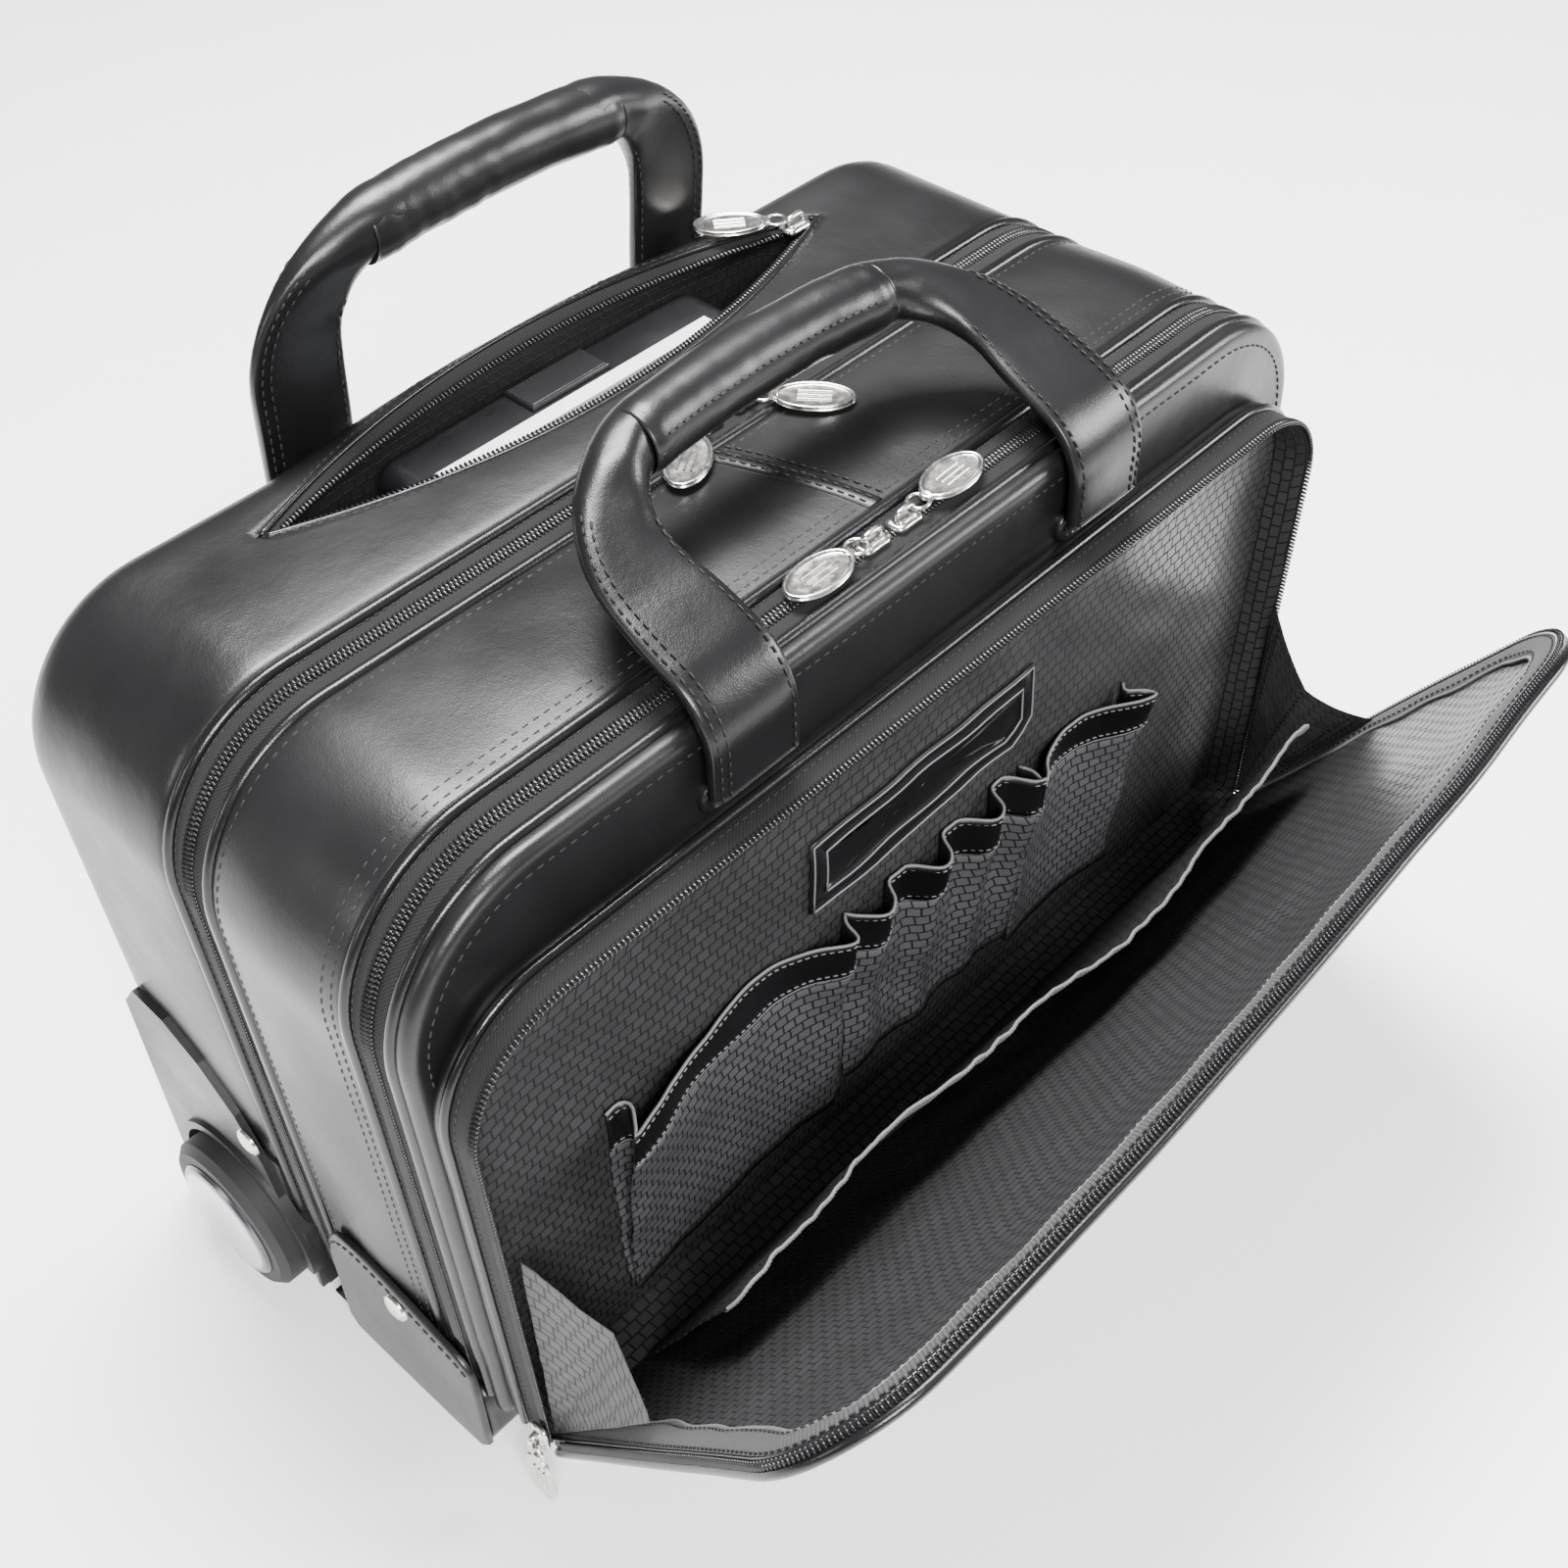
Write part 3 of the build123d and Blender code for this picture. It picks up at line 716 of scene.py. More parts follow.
def rear_skin(name, inset, material, inner):
    """Sides, top and back of the rear compartment, with the bowed zip opening left in the top."""
    line = closed_outline(CASE)
    back = BACK - inset
    columns = []
    for k, p in enumerate(line):
        n = outward(line, k)
        on_top = n.y > 0.97
        bow = lens_bow(p.x, 9.0) if on_top else 0.0
        radius = clamp((BACK - LENS_Y - bow) * 0.75, 2.8, 17.0)
        column = []
        for q in range(11):
            f = q / 10
            y = mix(REAR_END - 1.5, LENS_Y - bow, f)
            lift = math.sin(math.pi * f) * (0.8 + 1.1 * wobble(p.x, y, p.y, 60)) - 1.0 * smooth(1 - f * 9)
            column.append((p, n, y, lift - inset))
        for q in range(4):
            y = mix(LENS_Y + bow, back - radius, q / 3)
            column.append((p, n, y, -inset))
        for q in range(1, 7):
            a = math.radians(15 * q)
            column.append((p, n, back - radius + radius * math.sin(a), -inset - radius * (1 - math.cos(a))))
        columns.append((column, p, n, radius + inset))
    rows = []
    for j in range(len(columns[0][0])):
        row = []
        for column, p, n, r in columns:
            q, m, y, h = column[j]
            at = q + m * h
            row.append((at.x, y, at.y))
        rows.append(row)
    middle = Vector((0, 165, 0))
    for s in (0.97, 0.93, 0.88, 0.8, 0.72, 0.64, 0.56, 0.48, 0.4, 0.3, 0.2, 0.1, 0.02):
        row = []
        for column, p, n, r in columns:
            edge = p - n * r
            at = middle + (edge - middle) * s
            y = back + 0.9 * wobble(at.x, 0, at.y, 70, 5.0) * (1 - s) ** 0.3 - 0.5
            row.append((at.x, y, at.y))
        rows.append(row)
    points, faces, uvs = grid(rows)
    wide = len(rows[0])
    faces.append(tuple(range(len(points) - wide, len(points) - 1)))
    kept = []
    for f in faces:
        level = f[0] // wide
        if level == 10:
            continue
        c = sum((Vector(points[i]) for i in f), Vector()) / len(f)
        if abs(c.x) > 192 and c.z < 84 and BACK - 100 < c.y < BACK - 7:
            continue
        kept.append(f)
    skin = piece(name, points, kept if inner else flipped(kept), material, "case", uvs, thick=0.6,
                 replaces=() if inner else ("rear_shell",))
    weld(skin)


rear_skin("rear_leather", 0.0, LEATHER, False)
rear_skin("rear_lining", 3.6, LINING, True)


def lip(side, grow, z, step=3.0):
    """One edge of the bowed zip opening as evenly spaced points."""
    reach = LENS_HALF + min(grow, 8.0)
    line = [(x * reach / 60, LENS_Y + side * lens_bow(x * reach / 60, grow), z) for x in range(-60, 61)]
    return spaced([Vector(p) for p in line], step)


for side, tag in ((-1, "front"), (1, "rear")):
    hang = 0.45 if side < 0 else 1.0
    rows = [lip(side, 9.0 + (g - 9.0) * hang, TOP + dz) for g, dz in LENS_TAPE]
    count = min(len(r) for r in rows)
    rows = [spaced(r, sum((b - a).length for a, b in zip(r, r[1:])) / (count - 1))[:count] for r in rows]
    sheet(f"lens_tape_{tag}", rows, TAPE, "case", flip=side < 0, thick=0.8, replaces=("rear_zip_track",))
    teeth = lip(side, 9.0 - 8.6 * hang, TOP - 1.6, 0.9)
    teeth = [(p, (0, 1, 0), (0, 0, 1)) for k, p in enumerate(teeth) if k % 2 == (side > 0)]
    beads(f"lens_teeth_{tag}", teeth, (4.0, 1.25, 1.1), COIL, "case")
    tube_piece(f"lens_edge_{tag}", lip(side, 9.2, TOP - 0.2), 1.1, LEATHER_PIPE, "case", 8)
    seam = lip(side, 12.5, TOP + 0.1)
    seam = [p for p in seam if p.y < BACK - 2.5]
    stitches(f"lens_stitches_{tag}", [(seam, [(0, 0, 1)] * len(seam))], "case", 4.0)

rows = []
for z, flare, grow in ((TOP - 2.4, 0.0, 2.0), (TOP - 6, 0.35, 0.5), (TOP - 11, 0.8, 0), (TOP - 18, 1.0, 0),
        (TOP - 40, 1, 0), (TOP - 70, 1, 0), (TOP - 100, 1, 0)):
    row = []
    for k in range(81):
        a = 2 * math.pi * k / 80
        x = LENS_HALF * math.cos(a)
        y = LENS_Y + (lens_bow(x, grow) if math.sin(a) >= 0 else -lens_bow(x, grow + 4.5))
        wide_y = LENS_Y + (24.0 if math.sin(a) >= 0 else -21.0) * abs(math.sin(a)) ** 0.35
        wrinkle = 1.2 * wobble(x, y, z, 18, 2.0) * flare
        row.append((x * mix(1, 0.985, flare), mix(y, wide_y, flare) + wrinkle, z))
    rows.append(row)
sheet("lens_lining", rows, LINING, "case")

for node in ("trolley_lining_wall", "middle_divider"):
    paint(node, LINING_CAD)
for node in ("base_panel", "wheel_housings", "corner_guard_left", "corner_guard_right", "front_feet"):
    paint(node, GUARD)
paint("snap_studs", NICKEL)
paint("wheel_axles", STEEL)
for side in ("left", "right"):
    paint(f"tyre_{side}", RUBBER)
    paint(f"hub_{side}", DISC)
for node in ("trolley_outer_tubes", "trolley_tubes_1", "trolley_tubes_2", "trolley_tubes_3"):
    paint(node, ALLOY)
paint("trolley_grip", GRIP_PLASTIC)
paint("trolley_grip_strip", SILVER)
paint("release_button", BUTTON)

# leather wraps at the bottom front corners
for side, tag in ((-1, "left"), (1, "right")):
    top = curve_through([(-112, 62, 0), (-114, 72, 0), (-120, 81, 0), (-132, 84.5, 0), (-150, 82, 0),
        (-172, 76.5, 0), (-187, 72, 0), (-192.5, 66, 0)], 3.0)
    loop = [(p.x, p.y) for p in top]
    loop += [(-192.5, z) for z in (52, 40, 28, 18)] + [(-188, 12), (-170, 11), (-150, 11), (-130, 11),
        (-116, 12), (-112, 18), (-112, 32), (-112, 48)]

    def on_side(u, v, w, s=side):
        return (s * (219.4 + w), BACK + u, v)

    profile = [(0, 0), (0, 1.4), (0.3, 2.0), (1.0, 2.4), (2.0, 2.5)]
    points, faces = pad(loop, profile, on_side)
    piece(f"bottom_wrap_{tag}", points, faces if side < 0 else flipped(faces), LEATHER, "case",
        replaces=("bottom_wraps",))
    path = [(side * 222.0, BACK + p.x, p.y - 4.5) for p in top[2:-2]]
    stitches(f"wrap_stitches_{tag}", [(path, [(side, 0, 0)] * len(path))], "case", 4.0)


# leather under the case and up behind the front panel
turned = arcs([(-98, 13.0, 0), (-190.5, 13.0, 0), (-190.5, 43.5, 0), (-176, 46.0, 0)], [0, 7.0, 5.0, 0],
    3.0)
rows = []
for p in turned:
    row = []
    for i in range(101):
        x = mix(-218.6, 218.6, i / 100)
        row.append((x, BACK + p.x, p.y + 0.5 * wobble(x, p.x, p.y, 30, 7.0)))
    rows.append(row)
sheet("bottom_leather", rows, LEATHER, "case", flip=True, thick=1.6)

# ---- zips round the case
zip_half("zip_1_rear", ZIP_1, 1, 30.0, "case", ("zip_1_rear_half",), ("zip_1_rear_piping",))
zip_half("zip_1_middle", ZIP_1, -1, 30.0, "middle_section", ("zip_1_middle_half",), ("middle_pipings",))
zip_half("zip_2_middle", ZIP_2, 1, 50.0, "middle_section", ("zip_2_middle_half",), ("middle_pipings",))
zip_half("zip_2_front", ZIP_2, -1, 50.0, "front_section", ("zip_2_front_half",), ("zip_2_front_piping",))

# ---- middle band
BAND_BACK, BAND_FRONT = ZIP_1 - BAND, ZIP_2 + BAND


def band_lift(p, y):
    t = clamp((BAND_BACK - y) / (BAND_BACK - BAND_FRONT))
    pillow = 2.0 * math.sin(math.pi * t) ** 0.7 if 0 < t < 1 else 0.0
    return pillow + 1.0 * wobble(p.x, y, p.y, 34, 8.0) * math.sin(math.pi * t) - 0.6


line = arch(CASE, 48.0)
levels = [mix(BAND_BACK + 1.2, BAND_FRONT - 1.2, k / 20) for k in range(21)]
sheet("middle_band_leather", swept(line, [(y, 0) for y in levels], band_lift), LEATHER_BAND,
    "middle_section", thick=1.2, replaces=("middle_band",))
sheet("middle_band_lining", swept(line, [(y, -4.2) for y in levels]), LINING, "middle_section", flip=True)
runs = [arch_run(CASE, 60.0, BAND_FRONT + 3.5, 0.5, band_lift),
    arch_run(CASE, 60.0, BAND_FRONT + 7.5, 0.5, band_lift)]
runs += [arch_run(CASE, 60.0, BAND_BACK - 3.5, 0.5, band_lift)]
stitches("band_stitches", runs, "middle_section", 4.2)

seam_rows = []
for k in range(17):
    f = k / 16
    y = mix(BAND_BACK - 1, BAND_FRONT + 1, f)
    x = mix(-3, 14, f)
    z = TOP + band_lift(Vector((x, TOP, 0)), y) + 0.7
    seam_rows.append([(x - 7, y, z - 0.5), (x - 6.4, y, z + 0.5), (x - 3, y, z + 0.6), (x, y, z + 0.7),
        (x + 0.4, y, z - 0.5)])
sheet("band_lap_seam", seam_rows, LEATHER_BAND, "middle_section", flip=True)
paths = []
for shift_x in (-4.6, -1.6, 3.4):
    path = [(r[3][0] + shift_x, r[3][1], r[3][2] + (0.1 if shift_x < 0 else -0.5)) for r in seam_rows]
    paths.append((path, [(0, 0, 1)] * len(path)))
stitches("band_lap_stitches", paths, "middle_section", 4.0)

# ---- front panel
line = arch(CASE, HINGE_Z)
front = ZIP_2 - BAND


def panel_rows(insets):
    """Rows of the front panel: each is the outline at some y, drawn in by some inset."""
    rows = []
    for y, inset in insets:
        row = []
        for k, p in enumerate(line):
            n = outward(line, k)
            at = p - n * inset
            drift = 0.8 * wobble(at.x, y, at.y, 30, 4.0) * smooth((inset - 3) / 8)
            row.append((at.x, y - drift, at.y))
        rows.append(row)
    return rows


edge = [(front + 1.2, 1.0), (front - 0.6, 0.2), (FACE + 3.5, 0.0), (FACE + 2.2, 0.3), (FACE + 1.0, 1.2),
    (FACE + 0.2, 2.6), (FACE, 4.5)]
edge += [(FACE, inset) for inset in (8, 12, 17, 22, 28, 34, 40, 46)]
sheet("front_panel_leather", panel_rows(edge), LEATHER, "front_section", replaces=("front_panel",),
    thick=0.6)
back_of_panel = filled(CASE, 2.0, HINGE_Z, lambda x, z: (x, front + 0.4 + 0.5 * wobble(x, 0, z, 30), z))
sheet("front_panel_lining", back_of_panel, LINING, "front_section", flip=True)
path, normals = [], []
for k, p in enumerate(line):
    n = outward(line, k)
    at = p - n * 7.0
    path.append((at.x, FACE - 0.4 - 0.8 * wobble(at.x, FACE, at.y, 30, 4.0) * smooth(0.5), at.y))
    normals.append((0, -1, 0))
stitches("front_panel_stitches", [(path, normals)], "front_section", 4.2)

# ---- organizer pocket
line = arch(POUCH, HINGE_Z)
RIM = RING + 12.0


def wall_lift(p, y):
    t = clamp((FACE - y) / (FACE - RIM))
    return 0.8 * math.sin(math.pi * t) + 0.5 * wobble(p.x, y, p.y, 26, 6.0)


profile = [(FACE + 0.5, -0.5), (FACE - 1.5, -0.1), (mix(FACE, RIM, 0.6), -0.1), (RIM - 0.3, -0.4)]
sheet("organizer_wall_leather", swept(line, profile, wall_lift), LEATHER, "front_section",
    replaces=("organizer_wall",))
ring = swept(line, [(RIM + 1.9 * math.cos(a), -0.2 + 1.9 * math.sin(a))
    for a in [2 * math.pi * k / 10 for k in range(10)]])
points, faces, uvs = grid(ring, loop_v=True)
piece("organizer_piping_cord", points, flipped(faces), LEATHER_PIPE, "front_section", uvs,
    replaces=("organizer_piping",))
profile = [(RIM - 1.2, -0.7), (RIM - 3.5, -0.9), (RING + 4, -0.6), (RING + 1.8, -0.8), (RING + 0.6, -1.4)]
sheet("organizer_tape", swept(line, profile), TAPE, "front_section", replaces=("organizer_zip_half",),
    thick=0.8)
dense = arch(POUCH, HINGE_Z, 0.9)
places = []
for k, p in enumerate(dense):
    if k % 2 == 0:
        n = outward(dense, k)
        q = p - n * 0.9
        places.append(((q.x, RING + 0.6, q.y), (0, 1, 0), (n.x, 0, n.y)))
beads("organizer_teeth", places, (4.4, 1.25, 1.2), COIL, "front_section")
seam = [arch_run(POUCH, HINGE_Z + 4, RING + 8.2, -0.4)]
stitches("organizer_tape_stitches", seam, "front_section", 3.4, (2.4, 0.6, 0.35))

POCKET_BACK = FACE - 2.0


def sag(x, z):
    """Slanted creases of the lining on the back wall of the organizer."""
    slanted = wobble((x + 1.3 * z) * 0.9, 0, (z - 0.6 * x) * 0.28, 34, 1.0)
    return 2.3 * slanted + 0.9 * wobble(x, 3, z, 24, 2.0)


inside = swept(line, [(RING + 0.8, -1.9), (RING + 4, -2.6), (RING + 9, -3.0), (POCKET_BACK + 0.5, -3.2)])
sheet("organizer_side_lining", inside, LINING_LIGHT, "front_section", flip=True)
back_rows = filled(POUCH, 2.6, HINGE_Z - 0.5, lambda x, z: (x, POCKET_BACK - 0.4 - sag(x, z), z), 96)
sheet("organizer_back_lining", back_rows, LINING_LIGHT, "front_section")
floor_rows, strip_rows = [], []
for j in range(9):
    y = mix(POCKET_BACK, RING - 7.5, j / 8)
    xs = [mix(-210, 210, i / 60) for i in range(61)]
    floor_rows.append([(x, y, HINGE_Z + 1.2 + 0.4 * wobble(x, y, 0, 20)) for x in xs])
    y = mix(FACE + 4, RING - 8.5, j / 8)
    strip_rows.append([(x * 1.003, y, HINGE_Z - 0.3 + 0.3 * wobble(x, y, 9, 20)) for x in xs])
sheet("organizer_hinge_leather", strip_rows, LEATHER, "front_section", flip=True, thick=1.0)
sheet("organizer_floor_lining", floor_rows, LINING_LIGHT, "front_section")


def pocket(tag, plan, top, low, trim=19.0, edge_at=None):
    """A pocket on the back wall: its mouth stands out from the wall by the plan's (x, out) curve."""
    mouth = curve_through([(x, out, 0) for x, out in plan], 2.0)
    centre = sum(p.x for p in mouth) / len(mouth)

    def row(z):
        f = clamp((z - low) / (top - low))
        open_by = mix(0.18, 1.0, f ** 1.3)
        out = []
        for p in mouth:
            y = POCKET_BACK - 1.2 - sag(p.x, z) - max(p.y, 0.2) * open_by
            out.append((mix(centre, p.x, mix(0.985, 1.0, f)), y - 0.5 * wobble(p.x, 0, z, 12, 3.0),
                z + (edge_at(p.x) * f if edge_at else 0)))
        return out

    levels = [mix(low, top - trim, k / 14) for k in range(15)]
    sheet(f"{tag}_cloth", [row(z) for z in levels], POCKET_CLOTH, "front_section",
        replaces=("organizer_pockets",), thick=0.7)
    band = [[(x, y - 0.5, z) for x, y, z in row(mix(top - trim, top, k / 6))] for k in range(7)]
    sheet(f"{tag}_trim", band, LEATHER_TRIM, "front_section", thick=1.3)
    for name, z, r in (("top", top, 0.6), ("low", top - trim, 0.4)):
        path = [(x, y - 0.9, zz) for x, y, zz in row(z)]
        tube_piece(f"{tag}_edge_{name}", path, r, PALE, "front_section", 6)
    for name, z in (("top", top - 2.4), ("low", top - trim + 2.2)):
        path = [(x, y - 1.3, zz) for x, y, zz in row(z)]
        stitches(f"{tag}_stitches_{name}", [(path, [(0, -1, 0)] * len(path))], "front_section", 3.0,
            (2.2, 0.6, 0.4), PALE)


left_plan = [(-158, 0.2), (-152, 1.0), (-150, 5), (-155, 11.5), (-157, 13.5), (-151, 13), (-143, 11.5),
    (-134, 8.5), (-125, 5.6), (-110, 2), (-97, 0.6), (-86, 0.2), (-77, 0.6), (-68, 2.8), (-61, 6),
    (-52, 11.8), (-48, 11), (-46, 4), (-43, 0.3)]
pocket("pocket_left", left_plan, 168.0, 62.0, edge_at=lambda x: 3.0 * math.sin((x + 158) / 36))
right_plan = [(57, 0.2), (58.5, 6), (57, 12.5), (61, 11), (66, 6.6), (73, 3), (81, 0.6), (88, 0.5),
    (95, 1.4), (103, 4.6), (109, 8), (117, 12.5), (124, 14), (122, 9), (117, 4), (120, 0.3)]
pocket("pocket_right", right_plan, 166.0, 64.0, edge_at=lambda x: 2.0 * math.sin((x - 60) / 22))
pens = [(-43, 0.2), (-40, 5), (-33, 11.5), (-26, 8.5), (-21, 0.8), (-14, 0.2), (-10, 1.5), (-3, 10.8),
    (4, 9.4), (9, 1.2), (15, 0.2), (20, 1.6), (28, 11.4), (35, 9.8), (39, 1.2), (44, 0.2), (48, 2),
    (53, 11), (57, 13)]
pocket("pen_loops", pens, 168.0, 70.0)

# card slot above the pens: a framed sleeve with a cut corner
card = [(-60, 182), (50, 182), (60, 192), (60, 216), (-60, 216)]


def on_wall(u, v, w):
    """A point on the back wall of the organizer, some way out from its creased lining."""
    return (u, POCKET_BACK - 0.9 - sag(u, v) - w, v)


loop = []
for (x0, z0), (x1, z1) in zip(card, card[1:] + card[:1]):
    count = max(int(math.hypot(x1 - x0, z1 - z0) / 6), 2)
    loop += [(mix(x0, x1, k / count), mix(z0, z1, k / count)) for k in range(count)]
points, faces = pad(loop, [(0, 0), (0, 1.0), (0.5, 1.4), (7, 1.5), (7.5, 0.7), (9, 0.6)], on_wall)
piece("card_slot", points, faces, LEATHER_TRIM, "front_section")
for name, off in (("outer", 0.8), ("inner", 7.0)):
    path = []
    for u, v in loop + loop[:1]:
        shrink_u, shrink_v = 1 - off / 60, 1 - off / 17
        path.append(on_wall(u * shrink_u, 199 + (v - 199) * shrink_v, 1.7))
    tube_piece(f"card_slot_edge_{name}", path, 0.4, PALE, "front_section", 6)

# ---- organizer flap
PIVOT_Y, PIVOT_Z = RING - 5.0, HINGE_Z
OPEN = math.radians(FLAP_OPEN)
FLAP_BACK = RING - 1.6


def opened(x, y, z):
    """A point of the closed flap, turned forwards to where the flap stands open."""
    dy, dz = y - PIVOT_Y, z - PIVOT_Z
    if x > 0:
        x -= 8.0 * (x / 218) * (dz / 219) ** 2
    return (x, PIVOT_Y + dy * math.cos(OPEN) - dz * math.sin(OPEN),
        PIVOT_Z + dy * math.sin(OPEN) + dz * math.cos(OPEN))


def flap_bow(x, z):
    """How far the cloth bows outwards, more in the middle than at the rim."""
    up = clamp((z - HINGE_Z) / (RING_TOP - HINGE_Z))
    side = clamp(1 - (x / 216) ** 2)
    return 8.0 * side ** 0.8 * math.sin(math.pi * up * 0.6) - 6.5 * up * x / 218 + 1.2 * wobble(x, 0, z, 60,
        9.0) * up


def flap_point(out):
    """The outer or the inner face of the flap, as a function from (x, z) of the closed flap."""
    def place(x, z):
        rounding = 3.2 * (1 - smooth(from_edge(POUCH, x, z) / 9)) if out else 0.0
        y = FLAP_BACK - (4.6 if out else 0.6) - flap_bow(x, z) + rounding
        if not out:
            y -= 1.1 * wobble(x, 0, z, 30, 3.0)
        return opened(x, y, z)
    return place


outer = filled(POUCH, 0.4, HINGE_Z, flap_point(True), 96)
sheet("flap_leather", outer, LEATHER, "flap", replaces=("organizer_flap",), thick=0.8)
inner = filled(POUCH, 1.5, HINGE_Z + 0.5, flap_point(False), 110, 3.5)
sheet("flap_lining", inner, LINING_LIGHT, "flap", flip=True)


def flap_edge(inset, rise, wave=0.0):
    """A row along the flap's rim at some inset from its edge, raised from the lining."""
    base = arch(POUCH, HINGE_Z + 1, 2.5)
    row = []
    for k, p in enumerate(base):
        n = outward(base, k)
        wavy = wave * (wobble(p.x, 0, p.y, 17, 4.0) + 0.6 * math.sin(k * 0.42))
        at = p - n * (inset + wavy)
        y = FLAP_BACK - 0.6 - flap_bow(at.x, at.y) + rise
        row.append(opened(at.x, y, at.y))
    return row


roll = [(0.4, -1.6, 0), (0.2, 0.2, 0), (1.2, 1.2, 0.05), (3.5, 1.9, 0.1), (7, 2.1, 0.4), (10.5, 1.8, 0.8),
    (13, 1.0, 1.3), (14, -0.4, 1.5)]
sheet("flap_border_knit", [flap_edge(*r) for r in roll], BORDER, "flap", flip=True,
    replaces=("flap_border",))
for name, inset, rise, r in (("inner", 13.6, 0.6, 0.8), ("outer", 0.9, 1.3, 0.7)):
    tube_piece(f"flap_border_edge_{name}", flap_edge(inset, rise, 1.4 if inset > 9 else 0.05), r,
        PALE if inset > 9 else COIL, "flap", 6)
paths = []
for inset, rise, wave in ((11.4, 2.0, 0.9), (2.6, 2.0, 0.05)):
    path = flap_edge(inset, rise, wave)
    up = (0, math.cos(OPEN), math.sin(OPEN))
    paths.append((path, [up] * len(path)))
stitches("flap_border_stitches", paths, "flap", 3.2, (2.4, 0.7, 0.4))

base = arch(POUCH, HINGE_Z + 14, 0.9)
places, tape_rows = [], [[], [], [], []]
for k, p in enumerate(base):
    n = outward(base, k)
    y = FLAP_BACK - flap_bow(p.x, p.y)
    tip = opened(p.x + n.x * 0.7, y - 0.2, p.y + n.y * 0.7)
    out = Vector(opened(p.x + n.x, y, p.y + n.y)) - Vector(opened(p.x, y, p.y))
    if k % 2 == 0:
        places.append((tip, (0, math.cos(OPEN), math.sin(OPEN)), out))
    for row, (h, depth) in zip(tape_rows, ((0.0, 0.6), (0.2, -0.8), (0.3, -2.6), (0.0, -4.4))):
        row.append(opened(p.x + n.x * h, y + depth, p.y + n.y * h))
beads("flap_teeth", places, (4.0, 1.25, 1.2), COIL, "flap")
sheet("flap_tape", tape_rows, TAPE, "flap", replaces=("flap_zip_half",), thick=0.6)
path = []
for p in arch(POUCH, HINGE_Z + 2, 3.0):
    y = FLAP_BACK - 3.4 - flap_bow(p.x, p.y)
    path.append(opened(p.x * 1.002, y, p.y + 0.4))
tube_piece("flap_piping", path, 1.9, LEATHER_PIPE, "flap", 10)

# ---- side gussets and leaning divider
for side, tag in ((-1, "left"), (1, "right")):
    for part, (u0, u1) in enumerate(((0.0, 0.34), (0.34, 0.67), (0.67, 1.0))):
        rows = []
        for j in range(9):
            u = mix(u0, u1, j / 8)
            a = Vector((side * 209.5, RING - 1.0, HINGE_Z + 4 + u * 112))
            b = Vector(opened(side * 209.5, FLAP_BACK + 1.4 - flap_bow(209.5, HINGE_Z + u * 96),
                HINGE_Z + 4 + u * 94))
            row = []
            for i in range(17):
                v = i / 16
                fold = 1 - abs(2 * v - 1)
                p = a.lerp(b, v)
                p.x -= side * (11.0 * u * fold ** 0.8 + 0.5 * wobble(p.x, p.y, p.z, 9))
                p.z -= 9.0 * u * u * math.sin(math.pi * v)
                row.append(tuple(p))
            rows.append(row)
        mesh = sheet(f"gusset_{tag}_cloth_{part}", rows, GUSSET, "front_section", flip=side > 0, ride=False,
                     replaces=(f"gusset_{tag}",) if part == 0 else ())
        paths = []
        for i in (1, 2, 8, 14, 15):
            path = [Vector(row[i]) - Vector((side * 0.5, 0, 0)) for row in rows]
            paths.append((path, [(-side, 0, 0)] * len(path)))
        sewn = stitches(f"gusset_{tag}_stitches_{part}", paths, "front_section", 3.4, (2.4, 0.6, 0.4),
            ride=False)
        for o in (mesh, sewn):
            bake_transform(o)

lean = math.radians(DIVIDER_LEAN)
rows = []
for j in range(30):
    f = j / 29
    row = []
    for i in range(141):
        x = mix(-168, 176, i / 140)
        wave = 5.0 * math.sin((x + 30) / 42) + 4.0 * wobble(x, 0, 0, 40, 2.0) + 1.1 * wobble(x, 0, 0, 6,
            3.0)
        wave = wave * f + 0.7 * wobble(x, 0, f * 100, 22)
        s = 6 + 104 * f + 2.0 * math.sin(x / 60) * f
        corner = clamp((abs(x - 4) - 160) / 12) ** 2 * 8 * smooth((f - 0.85) / 0.15)
        row.append((x, RING - 3 - math.sin(lean) * (s - corner) - wave * math.cos(lean),
            HINGE_Z + math.cos(lean) * (s - corner) - wave * math.sin(lean)))
    rows.append(row)
divider = sheet("divider_cloth", rows, LINING_LIGHT, "front_section", replaces=("sleeve_divider",),
    thick=0.8, ride=False)
# The divider's hem along its wavy top edge: the thin tube is real, but its pale trim colour is a painted
# highlight, the light that the hem catches.
rim_path = rows[-1]
mouth = sheet("divider_rim_painted_highlight", tube(rim_path, 0.65, 6), PALE, "front_section", ride=False,
    loop_u=True)
binding = sheet("divider_binding", [[(x, y - 0.6, z) for x, y, z in r] for r in rows[-4:]], BORDER,
    "front_section", thick=0.6, ride=False)
normal = Vector((0, -math.cos(lean), -math.sin(lean)))
on_plane = Vector((0, RING - 3, HINGE_Z))
for o in (divider, mouth, binding):
    start, end = on_plane - normal * 150 * 0.645, on_plane + normal * 150 * 0.355
    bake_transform(o)

# ---- carry handles
STRAP_X = 87.0


